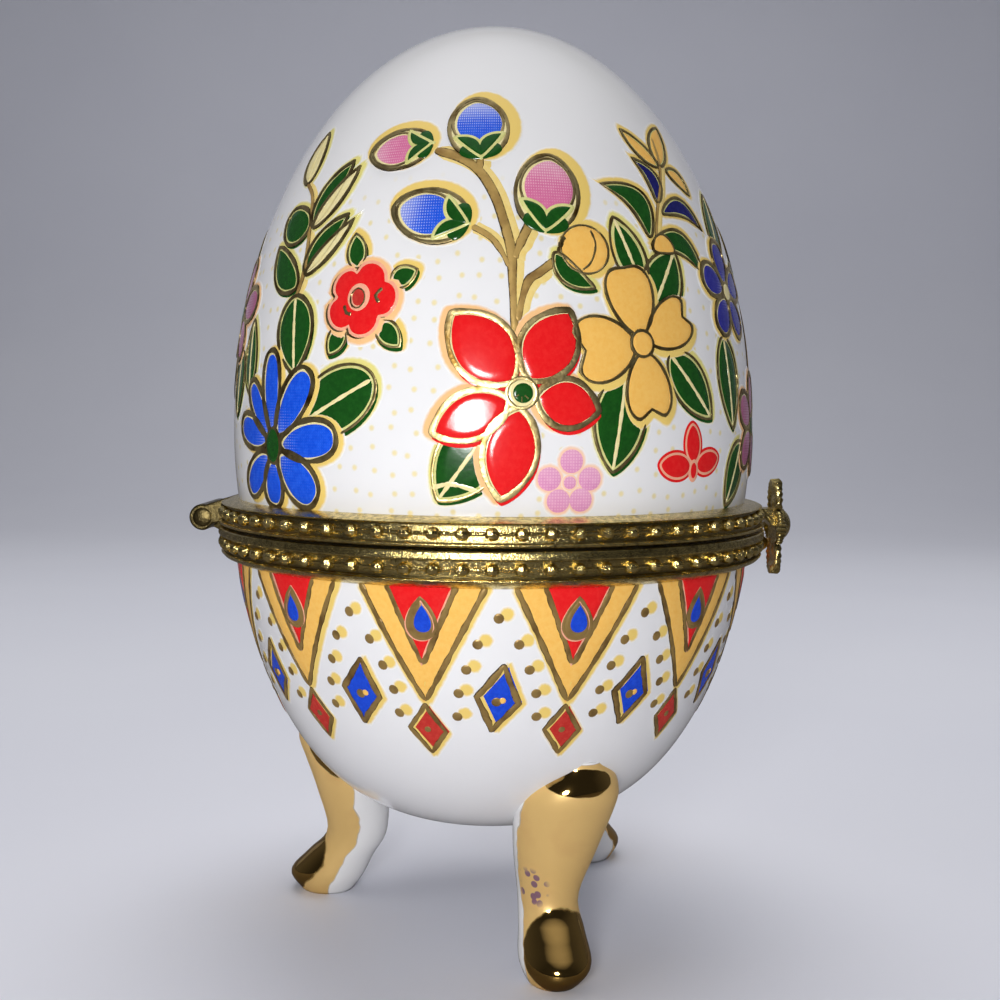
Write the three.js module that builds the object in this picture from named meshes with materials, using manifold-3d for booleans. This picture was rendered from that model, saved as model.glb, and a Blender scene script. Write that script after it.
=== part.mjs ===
// Footed egg trinket box: a porcelain egg in two halves, each gripped by a gilt brass bezel.
// The bezels are hinged at one side and held shut by a sprung flower clasp at the other.
// Millimetres, +Z up. The origin is on the egg's axis, on the surface that the feet stand on.
// +X points to the clasp, -X to the hinge and -Y to the front.
import * as THREE from 'three';
import { mergeVertices } from 'three/addons/utils/BufferGeometryUtils.js';
import Module from 'manifold-3d';

const wasm = await Module();
wasm.setup();

// Porcelain egg
const LID_RADIUS = 28.5; // at the widest ring of the egg, which is on the lid
const LID_HEIGHT = 53.8; // seam to crown
const BELLY_RISE = 9.6; // seam to the widest ring
const MOUTH_TAPER = 38.3; // half-height of the ellipse that draws the lid in below the widest ring
const CUP_RADIUS = 28.5; // of the cup's curve at the seam
const CUP_DEPTH = 32.7; // seam to the underside
const CUP_DEPTH_POWER = 1.63; // below 2 the cup draws in early under the seam
const CUP_WIDTH_POWER = 3.07; // above 2 the underside is full and flat
const FLOOR_CLEARANCE = 11.8; // table to the underside of the cup
const PORCELAIN_WALL = 2.6;
const NECK_STEP = 0.45; // how far a neck is set in from its shoulder

// Gilt brass bezels
const SEAM_GAP = 0.3; // between the two parting faces
const LID_LIP = 0.33; // plain lip between a parting face and its bead groove
const BASE_LIP = 0.87;
const LID_SKIRT = 0.62; // sloping skirt between a bead groove and the porcelain
const BASE_SKIRT = 1.03;
const BEZEL_WALL = 1.05; // behind the bead groove
const BEZEL_FLANGE = 0.7; // plate under each porcelain rim
const LINING_WALL = 0.6; // inner wall of the channel
const LINING_HEIGHT = 2.2;
const LIP_INSET = 0.15; // lips stand this far inside the crests of the beads
const EDGE_ROUND = 0.2;
const SKIRT_LAP = 0.25; // how far a skirt's edge laps over the shoulder of its half egg

// Beaded gallery wire
const BEAD_COUNT = 70;
const BEAD_RADIUS = 0.55;
const BEAD_WAIST = 0.3; // wire radius between two beads

// Hinge
const HINGE_STANDOFF = 1.3; // bead crests to the hinge axis
const HINGE_RISE = 0.5; // hinge axis above the seam
const HINGE_LENGTH = 9.4;
const KNUCKLE_LENGTH = 2.8; // the centre knuckle
const BARREL_RADIUS = 1.45;
const PIN_RADIUS = 0.45;
const WEB_DEPTH = 1.3; // height of the base leaf's web on the bezel's band

// Clasp
const CLASP_STANDOFF = 1.35; // bead crests to the back of the flower
const FLOWER_THICKNESS = 0.7;
const FLOWER_HALF_HEIGHT = 5.45;
const FLOWER_HALF_WIDTH = 3.6;
const FLOWER_WAIST = 2.7; // radius between two petals
const PETAL_FULLNESS = 0.55; // lower is rounder
const FLOWER_BEVEL = 0.15;
const FLOWER_DROP = 0.4; // centre of the flower below the seam
const BOSS_RADIUS = 1.9;
const BOSS_HEIGHT = 1.15;
const BOSS_DROP = 0.15; // centre of the boss below the seam
const ARM_WIDTH = 3.0;
const ARM_HEIGHT = 1.4;
const ARM_RISE = 0.35; // seam to the underside of the arm
const STUD_RADIUS = 0.95;
const STUD_DROP = 2.3; // stud axis below the seam

// Feet, set by hand: angle in degrees from +X, lean sideways in millimetres per millimetre of height
const FOOT_FRONT_ANGLE = -71;
const FOOT_BACK_ANGLE = 50;
const FOOT_LEFT_ANGLE = 166.5;
const FOOT_FRONT_LEAN = 0.12;
const FOOT_BACK_LEAN = 0;
const FOOT_LEFT_LEAN = 0;
const KNEE_RISE = 5.2; // underside of the cup to the fullest part of the knee
const KNEE_TOP_RISE = 5.0; // knee to the top of the leg
const KNEE_TOP_PROUD = 0.6; // how far the top of the leg stands out of the cup
const KNEE_TOP_WIDTH = 10.2;
const KNEE_PROUD = 3.3; // how far the knee stands out of the cup
const KNEE_DEPTH = 9.4; // front to back
const KNEE_WIDTH = 11;
const ANKLE_HEIGHT = 7.3;
const ANKLE_SET_IN = 1.7; // front of the ankle behind the front of the knee
const ANKLE_DEPTH = 7.1;
const ANKLE_WIDTH = 6.0;
const TOE_HEIGHT = 2.0;
const TOE_REACH = 2.9; // front of the toe ahead of the front of the knee
const TOE_DEPTH = 8.9;
const TOE_WIDTH = 7.0;
const SOLE_DEPTH = 6.2;
const SOLE_WIDTH = 5.2;
const SOLE_SET_IN = 1.3; // front of the flat sole behind the front of the toe

// Clearance between soldered, cemented or luted pieces, and in the hinge
const JOINT_GAP = 0.3;

// Facets
const EGG_SIDES = 48;
const RING_SIDES = 60;
const LID_STEPS = 13;
const CUP_STEPS = 11;
const ROUND_SIDES = 20;
const BEAD_SIDES = 5;
const FOOT_SIDES = 16;
const FOOT_STEPS = 12;
const PETAL_STEPS = 48;
const DOME_STEPS = 4;
const WELD = 1e-4;

// Heights and radii that the pieces share
const seam = FLOOR_CLEARANCE + CUP_DEPTH;
const lidFace = seam + SEAM_GAP / 2;
const baseFace = seam - SEAM_GAP / 2;
const grooveHalf = BEAD_RADIUS + JOINT_GAP;
const lidBezelHeight = LID_LIP + 2 * grooveHalf + LID_SKIRT;
const baseBezelHeight = BASE_LIP + 2 * grooveHalf + BASE_SKIRT;
const lidShoulder = lidFace + lidBezelHeight + JOINT_GAP;
const cupShoulder = baseFace - baseBezelHeight - JOINT_GAP;
const shoulderRadius = Math.min(lidRadius(lidShoulder), cupRadius(cupShoulder));
const neckRadius = shoulderRadius - NECK_STEP;
const mouthRadius = shoulderRadius - PORCELAIN_WALL;
const channelOuter = neckRadius + JOINT_GAP;
const channelInner = mouthRadius - JOINT_GAP;
const liningRadius = channelInner - LINING_WALL;
const grooveRadius = channelOuter + BEZEL_WALL;
const beadRingRadius = grooveRadius + JOINT_GAP + BEAD_RADIUS;
const beadCrest = beadRingRadius + BEAD_RADIUS;
const lipRadius = beadCrest - LIP_INSET;
const hingeX = -(beadCrest + HINGE_STANDOFF);
const hingeZ = seam + HINGE_RISE;
const flowerBack = beadCrest + CLASP_STANDOFF;

// Outside radius of the lid: an ellipse up to the crown and a flatter one down to the mouth
function lidRadius(z) {
  const belly = seam + BELLY_RISE;
  const half = z > belly ? LID_HEIGHT - BELLY_RISE : MOUTH_TAPER;
  return LID_RADIUS * Math.sqrt(Math.max(0, 1 - ((z - belly) / half) ** 2));
}

// Outside radius of the cup: a superellipse from the seam to the underside
function cupRadius(z) {
  const fall = Math.max(0, seam - z) / CUP_DEPTH;
  return CUP_RADIUS * Math.max(0, 1 - fall ** CUP_DEPTH_POWER) ** (1 / CUP_WIDTH_POWER);
}

// Half-egg curve as [radius, height] pairs from its shoulder to its pole, closer spaced at the pole
function eggCurve(radiusAt, shoulder, pole, steps) {
  return Array.from({ length: steps + 1 }, (_, i) => {
    const z = shoulder + (pole - shoulder) * Math.sin((Math.PI / 2) * (i / steps));
    return i === steps ? [0, pole] : [radiusAt(z), z];
  });
}

// The same curve moved along its normal, outwards for a positive distance; the pole stays on the axis
function offsetCurve(curve, distance) {
  return curve.map(([r, z], i) => {
    const [r0, z0] = curve[Math.max(0, i - 1)];
    const [r1, z1] = curve[Math.min(curve.length - 1, i + 1)];
    const towardsPole = Math.sign(curve.at(-1)[1] - curve[0][1]);
    const length = Math.hypot(r1 - r0, z1 - z0);
    const normalR = Math.abs(z1 - z0) / length;
    const normalZ = (Math.abs(r1 - r0) / length) * towardsPole;
    if (i === curve.length - 1) return [0, z + distance * towardsPole];
    return [Math.max(0, r + distance * normalR), z + distance * normalZ];
  });
}

// Joins vertices that lie on each other and drops the triangles that this closes up
function weld(geometry) {
  const bare = new THREE.BufferGeometry();
  bare.setAttribute('position', geometry.getAttribute('position'));
  bare.setIndex(geometry.getIndex());
  const merged = mergeVertices(bare, WELD);
  const index = merged.getIndex().array;
  const kept = [];
  for (let i = 0; i < index.length; i += 3) {
    const corners = [index[i], index[i + 1], index[i + 2]];
    if (new Set(corners).size === 3) kept.push(...corners);
  }
  merged.setIndex(kept);
  return merged;
}

function toSolid(geometry) {
  const welded = weld(geometry);
  return new wasm.Manifold(new wasm.Mesh({
    numProp: 3,
    vertProperties: new Float32Array(welded.getAttribute('position').array),
    triVerts: new Uint32Array(welded.getIndex().array),
  }));
}

function toGeometry(solid) {
  const mesh = solid.getMesh();
  const geometry = new THREE.BufferGeometry();
  geometry.setAttribute('position', new THREE.BufferAttribute(new Float32Array(mesh.vertProperties), 3));
  geometry.setIndex(new THREE.BufferAttribute(new Uint32Array(mesh.triVerts), 1));
  return geometry;
}

// Revolves [radius, height] pairs about Z; the outline runs up its outer side
function revolve(outline, sides) {
  const points = outline.map(([r, z]) => new THREE.Vector2(r, z));
  return new THREE.LatheGeometry(points, sides).rotateX(Math.PI / 2);
}

// Extrudes an [x, z] outline along Y, centred on the front-to-back plane of the egg
function extrudeAcross(outline, width) {
  const shape = new THREE.Shape(outline.map(([x, z]) => new THREE.Vector2(x, z)));
  const geometry = new THREE.ExtrudeGeometry(shape, { depth: width, bevelEnabled: false });
  return geometry.rotateX(Math.PI / 2).translate(0, width / 2, 0);
}

function rodAcross(radius, length, x, z) {
  return new THREE.CylinderGeometry(radius, radius, length, ROUND_SIDES).translate(x, 0, z);
}

function lidShell() {
  const outer = eggCurve(lidRadius, lidShoulder, seam + LID_HEIGHT, LID_STEPS);
  const inner = offsetCurve(outer, -PORCELAIN_WALL);
  const rim = lidFace + BEZEL_FLANGE + JOINT_GAP;
  const neck = [[mouthRadius, lidShoulder], [mouthRadius, rim], [neckRadius, rim], [neckRadius, lidShoulder]];
  return revolve([...inner.slice(1).reverse(), ...neck, ...outer], EGG_SIDES);
}

function baseShell() {
  const outer = eggCurve(cupRadius, cupShoulder, FLOOR_CLEARANCE, CUP_STEPS);
  const inner = offsetCurve(outer, -PORCELAIN_WALL);
  const rim = baseFace - BEZEL_FLANGE - JOINT_GAP;
  const neck = [[neckRadius, cupShoulder], [neckRadius, rim], [mouthRadius, rim], [mouthRadius, cupShoulder]];
  return revolve([...outer.slice().reverse(), ...neck, ...inner.slice(1)], EGG_SIDES);
}

// Half of a bezel's channel as [radius, distance from the parting face]
function bezelSection(lip, skirt) {
  const round = Math.min(EDGE_ROUND, lip / 2);
  const grooveEnd = lip + 2 * grooveHalf;
  const edge = grooveEnd + skirt;
  return [
    [liningRadius, 0],
    [lipRadius - round, 0],
    [lipRadius, round],
    [lipRadius, lip],
    [grooveRadius, lip],
    [grooveRadius, grooveEnd],
    [lipRadius - round, grooveEnd],
    [shoulderRadius + SKIRT_LAP, edge],
    [channelOuter, edge],
    [channelOuter, BEZEL_FLANGE],
    [channelInner, BEZEL_FLANGE],
    [channelInner, LINING_HEIGHT],
    [liningRadius, LINING_HEIGHT],
    [liningRadius, 0],
  ];
}

// Room that both bezels leave round the hinge barrel
function barrelRelief() {
  const length = HINGE_LENGTH + 2 * JOINT_GAP;
  return toSolid(rodAcross(BARREL_RADIUS + JOINT_GAP, length, hingeX, hingeZ));
}

// Notch that lets the lid's hinge leaf into the outer face of its bezel
function leafNotch() {
  const depth = beadCrest - grooveRadius;
  const notch = new THREE.BoxGeometry(2 * depth, HINGE_LENGTH + 2 * JOINT_GAP, 2 * lidBezelHeight);
  return toSolid(notch.translate(-grooveRadius - depth, 0, lidFace + lidBezelHeight / 2));
}

function lidBezel() {
  const outline = bezelSection(LID_LIP, LID_SKIRT).map(([r, d]) => [r, lidFace + d]);
  const ring = toSolid(revolve(outline, RING_SIDES));
  return toGeometry(ring.subtract(leafNotch()).subtract(barrelRelief()));
}

function baseBezel() {
  const outline = bezelSection(BASE_LIP, BASE_SKIRT).map(([r, d]) => [r, baseFace - d]);
  return toGeometry(toSolid(revolve(outline.reverse(), RING_SIDES)).subtract(barrelRelief()));
}

// A ring of wire that swells to a bead at every other step
function beadRing(z) {
  const ring = new THREE.TorusGeometry(beadRingRadius, BEAD_RADIUS, BEAD_SIDES, BEAD_COUNT * 2);
  const position = ring.getAttribute('position');
  const point = new THREE.Vector3();
  const middle = new THREE.Vector3();
  for (let i = 0; i < position.count; i += 1) {
    point.fromBufferAttribute(position, i);
    const angle = Math.atan2(point.y, point.x);
    const step = Math.round((angle / Math.PI) * BEAD_COUNT);
    const swell = step % 2 === 0 ? 1 : BEAD_WAIST / BEAD_RADIUS;
    middle.set(beadRingRadius * Math.cos(angle), beadRingRadius * Math.sin(angle), 0);
    point.sub(middle).multiplyScalar(swell).add(middle);
    position.setXYZ(i, point.x, point.y, point.z);
  }
  return toSolid(ring.translate(0, 0, z));
}

function lidBeadRow() {
  return toGeometry(beadRing(lidFace + LID_LIP + grooveHalf).subtract(leafNotch()));
}

function baseBeadRow() {
  return toGeometry(beadRing(baseFace - BASE_LIP - grooveHalf));
}

// Leaf let into the lid bezel, with the two outer knuckles
function lidHingeLeaf() {
  const seat = -(grooveRadius + JOINT_GAP);
  const leaf = extrudeAcross([
    [hingeX, lidFace],
    [seat, lidFace],
    [seat, lidFace + lidBezelHeight],
    [hingeX, hingeZ + BARREL_RADIUS],
  ], HINGE_LENGTH);
  const relief = rodAcross(BARREL_RADIUS + JOINT_GAP, KNUCKLE_LENGTH + 2 * JOINT_GAP, hingeX, hingeZ);
  const bore = rodAcross(PIN_RADIUS + JOINT_GAP, 2 * HINGE_LENGTH, hingeX, hingeZ);
  return toGeometry(
    toSolid(leaf)
      .add(toSolid(rodAcross(BARREL_RADIUS, HINGE_LENGTH, hingeX, hingeZ)))
      .subtract(toSolid(relief))
      .subtract(toSolid(bore)),
  );
}

// Web on the band of the base bezel, with the centre knuckle
function baseHingeLeaf() {
  const seat = -(lipRadius + JOINT_GAP);
  const web = extrudeAcross([
    [hingeX, baseFace - WEB_DEPTH / 2],
    [seat, baseFace - WEB_DEPTH],
    [seat, baseFace],
    [hingeX, hingeZ],
  ], KNUCKLE_LENGTH);
  const bore = rodAcross(PIN_RADIUS + JOINT_GAP, HINGE_LENGTH, hingeX, hingeZ);
  return toGeometry(
    toSolid(web)
      .add(toSolid(rodAcross(BARREL_RADIUS, KNUCKLE_LENGTH, hingeX, hingeZ)))
      .subtract(toSolid(bore)),
  );
}

function hingePin() {
  return rodAcross(PIN_RADIUS, HINGE_LENGTH, hingeX, hingeZ);
}

// A bent strip from the lid's beads to the back of the flower
function claspArm() {
  const low = seam + ARM_RISE;
  const high = low + ARM_HEIGHT;
  const root = beadCrest + JOINT_GAP;
  const tip = flowerBack - JOINT_GAP;
  return extrudeAcross([
    [root, high - ARM_HEIGHT / 2],
    [(root + tip) / 2, low],
    [tip, low - ARM_HEIGHT / 2],
    [tip, high],
    [root, high],
  ], ARM_WIDTH);
}

// Four petals, the upright pair longer than the level pair
function claspFlower() {
  const outline = Array.from({ length: PETAL_STEPS }, (_, i) => {
    const angle = (2 * Math.PI * i) / PETAL_STEPS;
    const upright = Math.abs(Math.cos(angle)) > Math.SQRT1_2;
    const reach = (upright ? FLOWER_HALF_HEIGHT : FLOWER_HALF_WIDTH) - FLOWER_BEVEL;
    const swell = Math.abs(Math.cos(2 * angle)) ** PETAL_FULLNESS;
    const radius = FLOWER_WAIST + (reach - FLOWER_WAIST) * swell;
    return new THREE.Vector2(radius * Math.cos(angle), radius * Math.sin(angle));
  });
  const geometry = new THREE.ExtrudeGeometry(new THREE.Shape(outline), {
    depth: FLOWER_THICKNESS - 2 * FLOWER_BEVEL,
    bevelSize: FLOWER_BEVEL,
    bevelThickness: FLOWER_BEVEL,
    bevelSegments: 1,
  });
  return geometry.rotateY(Math.PI / 2).translate(flowerBack + FLOWER_BEVEL, 0, seam - FLOWER_DROP);
}

// A low dome along +X: [radius, height] pairs from its seat to its crown
function domeAlongX(radius, stem, height, x, z) {
  const quarter = Array.from({ length: DOME_STEPS + 1 }, (_, i) => {
    const angle = (Math.PI / 2) * (i / DOME_STEPS);
    return [radius * Math.cos(angle), stem + height * Math.sin(angle)];
  });
  const outline = [[0, 0], [radius, 0], ...quarter.slice(stem > 0 ? 0 : 1, -1), [0, stem + height]];
  const points = outline.map(([r, h]) => new THREE.Vector2(r, h));
  return new THREE.LatheGeometry(points, ROUND_SIDES).rotateZ(-Math.PI / 2).translate(x, 0, z);
}

function claspBoss() {
  const seat = flowerBack + FLOWER_THICKNESS + JOINT_GAP;
  return domeAlongX(BOSS_RADIUS, 0, BOSS_HEIGHT, seat, seam - BOSS_DROP);
}

function catchStud() {
  const seat = beadCrest + JOINT_GAP;
  const reach = flowerBack - JOINT_GAP - seat;
  return domeAlongX(STUD_RADIUS, reach / 2, reach / 2, seat, seam - STUD_DROP);
}

// A cabriole leg lofted through level sections: [height, front, depth, width] from the top down
function foot(angle, lean) {
  const knee = FLOOR_CLEARANCE + KNEE_RISE;
  const top = knee + KNEE_TOP_RISE;
  const kneeFront = cupRadius(knee) + KNEE_PROUD;
  const toeFront = kneeFront + TOE_REACH;
  const ankleFront = kneeFront - ANKLE_SET_IN;
  const stations = [
    [top, cupRadius(top) + KNEE_TOP_PROUD, KNEE_DEPTH, KNEE_TOP_WIDTH],
    [knee, kneeFront, KNEE_DEPTH, KNEE_WIDTH],
    [(knee + ANKLE_HEIGHT) / 2, (kneeFront + ankleFront) / 2, (KNEE_DEPTH + ANKLE_DEPTH) / 2,
      (KNEE_WIDTH + ANKLE_WIDTH) / 2],
    [ANKLE_HEIGHT, ankleFront, ANKLE_DEPTH, ANKLE_WIDTH],
    [(ANKLE_HEIGHT + TOE_HEIGHT) / 2, (ankleFront + toeFront) / 2, (ANKLE_DEPTH + TOE_DEPTH) / 2,
      (ANKLE_WIDTH + TOE_WIDTH) / 2],
    [TOE_HEIGHT, toeFront, TOE_DEPTH, TOE_WIDTH],
    [0, toeFront - SOLE_SET_IN, SOLE_DEPTH, SOLE_WIDTH],
  ];
  const places = stations.map(([z, front, depth]) => new THREE.Vector3(front, depth, z));
  const widths = stations.map(([, , , width]) => new THREE.Vector3(width, 0, 0));
  const placeCurve = new THREE.CatmullRomCurve3(places, false, 'catmullrom');
  const widthCurve = new THREE.CatmullRomCurve3(widths, false, 'catmullrom');
  const leg = new THREE.CylinderGeometry(1, 1, 1, FOOT_SIDES, FOOT_STEPS);
  const position = leg.getAttribute('position');
  for (let i = 0; i < position.count; i += 1) {
    const along = 0.5 - position.getY(i);
    const place = placeCurve.getPoint(along);
    const halfDepth = place.y / 2;
    const halfWidth = widthCurve.getPoint(along).x / 2;
    const x = place.x - halfDepth + halfDepth * position.getX(i);
    const y = lean * place.z - halfWidth * position.getZ(i);
    position.setXYZ(i, x, y, place.z);
  }
  const cup = eggCurve(cupRadius, cupShoulder, FLOOR_CLEARANCE, CUP_STEPS);
  const seat = revolve([...offsetCurve(cup, JOINT_GAP).reverse(), [0, cupShoulder]], EGG_SIDES);
  return toGeometry(toSolid(leg).subtract(toSolid(seat)).rotate([0, 0, angle]));
}

const porcelain = { color: 0xf4f3f0, roughness: 0.12, metalness: 0 };
const giltBrass = { color: 0xb58b34, roughness: 0.25, metalness: 1 };
const gilding = { color: 0xc79a4a, roughness: 0.2, metalness: 0.9 };

function piece(name, geometry, finish) {
  const mesh = new THREE.Mesh(geometry, new THREE.MeshStandardMaterial(finish));
  mesh.name = name;
  return mesh;
}

const base = new THREE.Group();
base.add(piece('base_shell', weld(baseShell()), porcelain));
base.add(piece('foot_front', foot(FOOT_FRONT_ANGLE, FOOT_FRONT_LEAN), gilding));
base.add(piece('foot_back', foot(FOOT_BACK_ANGLE, FOOT_BACK_LEAN), gilding));
base.add(piece('foot_left', foot(FOOT_LEFT_ANGLE, FOOT_LEFT_LEAN), gilding));
base.add(piece('base_bezel', baseBezel(), giltBrass));
base.add(piece('base_bead_row', baseBeadRow(), giltBrass));
base.add(piece('base_hinge_leaf', baseHingeLeaf(), giltBrass));
base.add(piece('catch_stud', weld(catchStud()), giltBrass));

const clasp = new THREE.Group();
clasp.add(piece('clasp_arm', weld(claspArm()), giltBrass));
clasp.add(piece('clasp_flower', weld(claspFlower()), giltBrass));
clasp.add(piece('clasp_boss', weld(claspBoss()), giltBrass));

const lid = new THREE.Group();
lid.add(piece('lid_shell', weld(lidShell()), porcelain));
lid.add(piece('lid_bezel', lidBezel(), giltBrass));
lid.add(piece('lid_bead_row', lidBeadRow(), giltBrass));
lid.add(piece('lid_hinge_leaf', lidHingeLeaf(), giltBrass));
lid.add(piece('hinge_pin', weld(hingePin()), giltBrass));
lid.add(clasp);

const eggBox = new THREE.Group();
eggBox.name = 'egg_trinket_box';
eggBox.add(base, lid);

export default eggBox;
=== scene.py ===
import math

import bpy
import numpy as np
from mathutils import Matrix, Vector


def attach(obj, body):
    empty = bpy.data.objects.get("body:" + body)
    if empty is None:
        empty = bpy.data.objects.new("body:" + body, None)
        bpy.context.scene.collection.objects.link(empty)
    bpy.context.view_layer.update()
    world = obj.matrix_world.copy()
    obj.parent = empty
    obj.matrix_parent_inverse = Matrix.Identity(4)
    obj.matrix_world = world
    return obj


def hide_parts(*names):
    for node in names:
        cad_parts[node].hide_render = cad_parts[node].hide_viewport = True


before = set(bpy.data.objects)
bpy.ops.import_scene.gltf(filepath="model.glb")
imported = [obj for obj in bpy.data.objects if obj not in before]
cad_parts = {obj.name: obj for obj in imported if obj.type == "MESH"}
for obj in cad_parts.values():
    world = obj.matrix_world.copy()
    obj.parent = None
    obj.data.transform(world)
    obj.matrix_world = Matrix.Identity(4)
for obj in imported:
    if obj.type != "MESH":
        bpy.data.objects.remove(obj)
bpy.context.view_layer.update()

# The cup is slip-cast porcelain, a thin bowl with a stepped neck that the metal bezel is cemented over.
# It is dipped in clear glaze and fired, so it is plain white inside and out. Lengths are in mm.
MM = 0.001
FLOOR_CLEARANCE = 11.8
SEAM = 44.5
CUP_RADIUS = 28.5
CUP_DEPTH = 32.7
CUP_DEPTH_POWER = 1.63
CUP_WIDTH_POWER = 3.07
EGG_WALL = 2.6
EGG_STEPS = 192
CURVE_STEPS = 72
SOFT_EDGE = 35
NECK_RADIUS = 27.64
MOUTH_RADIUS = 25.49
RIM_CLEARANCE = 0.5
CUP_SHOULDER = 40.95
CUP_RIM = 43.35
GLAZE_WHITE = "#F3F2F1"
GLAZE_SHADE = "#E9E8E9"
GLAZE_CLOUD = 14
GLAZE_RIPPLE = 5
RIPPLE_DEPTH = 0.2


def paint(code):
    """Linear colour of an sRGB hex code."""
    parts = [int(code[i:i + 2], 16) / 255 for i in (1, 3, 5)]
    return [p / 12.92 if p <= 0.04045 else ((p + 0.055) / 1.055) ** 2.4 for p in parts] + [1]


def wire(tree, kind, feeds=None, **settings):
    """Adds a node, or takes one that is there, and feeds its sockets with nodes, outputs or values."""
    node = kind if isinstance(kind, bpy.types.Node) else tree.nodes.new("ShaderNode" + kind)
    for setting, value in settings.items():
        setattr(node, setting, value)
    for socket, value in (feeds or {}).items():
        if isinstance(value, bpy.types.Node):
            value = next(output for output in value.outputs if output.enabled)
        if isinstance(value, bpy.types.NodeSocket):
            tree.links.new(value, node.inputs[socket])
        else:
            node.inputs[socket].default_value = value
    return node


def new_finish(name):
    """A new material with its node tree and its surface shader."""
    finish = bpy.data.materials.new(name)
    finish.use_nodes = True
    return finish, finish.node_tree, finish.node_tree.nodes["Principled BSDF"]


def wear(piece, finish):
    piece.data.materials.clear()
    piece.data.materials.append(finish)


def started(name, add, **sizes):
    """A new piece that starts as a plain mesh."""
    bpy.ops.object.select_all(action="DESELECT")
    add(**sizes)
    piece = bpy.context.object
    piece.name = name
    piece.data.name = name
    return piece


def edit(*steps):
    """Takes modelling steps, each with its settings, on the whole of the active mesh."""
    bpy.ops.object.mode_set(mode="EDIT")
    for step, settings in steps:
        bpy.ops.mesh.select_all(action="SELECT")
        step(**settings)
    bpy.ops.object.mode_set(mode="OBJECT")


def tidy_mesh(smooth_to):
    """Closes the seams of the active piece, turns its faces outwards and smooths its softer edges."""
    edit(
        (bpy.ops.mesh.remove_doubles, {"threshold": 1e-6}),
        (bpy.ops.mesh.delete_loose, {}),
        (bpy.ops.mesh.normals_make_consistent, {"inside": False}),
    )
    bpy.ops.object.shade_smooth_by_angle(angle=math.radians(smooth_to))


def turned(name, outline, steps, start=0.0, sweep=2 * math.pi):
    """A closed outline of (radius, height) pairs in mm, spun round the egg's axis."""
    piece = started(name, bpy.ops.mesh.primitive_circle_add, vertices=len(outline), radius=1)
    for point, (radius, height) in zip(piece.data.vertices, outline):
        point.co = (radius * MM * math.cos(start), radius * MM * math.sin(start), height * MM)
    edit((bpy.ops.mesh.spin, {"steps": steps, "angle": sweep, "center": (0, 0, 0), "axis": (0, 0, 1)}))
    tidy_mesh(SOFT_EDGE)
    return piece


def cup_radius(height):
    fall = np.clip((SEAM - height) / CUP_DEPTH, 0, 1)
    return CUP_RADIUS * (1 - fall ** CUP_DEPTH_POWER) ** (1 / CUP_WIDTH_POWER)


def shell_outline(radius_at, shoulder, pole, rim):
    """Outline of a half egg: outside from pole to shoulder, neck, rim, and the inside back to the pole."""
    bow = np.sin(np.linspace(math.pi / 2, 0, CURVE_STEPS + 1))
    heights = shoulder + (pole - shoulder) * bow
    radii = radius_at(heights)
    radii[0] = 0
    along = np.gradient(radii), np.gradient(heights)
    length = np.hypot(*along)
    up = math.copysign(1, shoulder - pole)
    inner_radii = np.maximum(radii - EGG_WALL * up * along[1] / length, 0)
    inner_heights = heights + EGG_WALL * up * along[0] / length
    inner_radii[0] = 0
    inner_heights[0] = pole + up * EGG_WALL
    keep = (inner_radii < MOUTH_RADIUS) & (up * (rim - inner_heights) > RIM_CLEARANCE)
    outer = list(zip(radii, heights))
    neck = [(NECK_RADIUS, shoulder), (NECK_RADIUS, rim), (MOUTH_RADIUS, rim)]
    inner = list(zip(inner_radii[keep], inner_heights[keep]))
    return outer + neck + inner[::-1]


def glazed_porcelain(name):
    # Clear glaze over white clay: a wet gloss, with faint clouds of grey and a ripple from dipping.
    finish, tree, glaze = new_finish(name)
    place = wire(tree, "TexCoord").outputs["Object"]
    cloud = wire(tree, "TexNoise", {"Vector": place, "Scale": 1 / (GLAZE_CLOUD * MM), "Detail": 3})
    tint = wire(tree, "Mix", {0: cloud, 6: paint(GLAZE_WHITE), 7: paint(GLAZE_SHADE)}, data_type="RGBA")
    ripple = wire(tree, "TexNoise", {"Vector": place, "Scale": 1 / (GLAZE_RIPPLE * MM), "Detail": 1})
    skin = wire(tree, "Bump", {"Height": ripple, "Strength": 0.06, "Distance": RIPPLE_DEPTH * MM})
    wire(tree, glaze, {"Base Color": tint, "Normal": skin, "Roughness": 0.1, "IOR": 1.52})
    return finish


cup_outline = shell_outline(cup_radius, CUP_SHOULDER, FLOOR_CLEARANCE, CUP_RIM)
cup = turned("cup", cup_outline, EGG_STEPS)
wear(cup, glazed_porcelain("glazed_porcelain"))
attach(cup, "base")
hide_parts("base_shell")

# Three curved feet of the same porcelain, luted to the cup before firing: a full knee, a slim ankle, a toe.
# Their outer faces are brushed with liquid gold that fires to a mirror, and their sides stay white.
# Each station is height, distance of the front from the axis, depth and width, down to the sole.
FEET = {"foot_front": (-71, 0.12), "foot_back": (50, 0), "foot_left": (166.5, 0)}
FOOT_STATIONS = [
    (22.5, 22.42, 9.4, 5.4),
    (21.9, 22.25, 9.4, 6.8),
    (21.2, 22.4, 9.4, 8.0),
    (20.4, 22.75, 9.4, 9.0),
    (19.4, 23.0, 9.4, 9.8),
    (18.2, 22.9, 9.4, 10.2),
    (16.2, 22.1, 9.4, 10.2),
    (12.2, 20.7, 8.3, 8.7),
    (7.3, 19.65, 7.1, 6.2),
    (4.4, 22.15, 8.0, 6.6),
    (2.0, 24.25, 8.9, 7.1),
    (0.0, 22.95, 6.2, 5.2),
]
FOOT_COLUMNS = 40
FOOT_ROWS = 60
TOP_CAP = 0.06
SOLE_CAP = 0.12
SEAT_DEPTH = 0.8
ROUND_EDGE = 60
LUSTRE = "#FCD286"
LUSTRE_THIN = "#F6C880"
LUSTRE_THICK = "#E3B768"
LUSTRE_PIT = "#9C7484"
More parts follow.
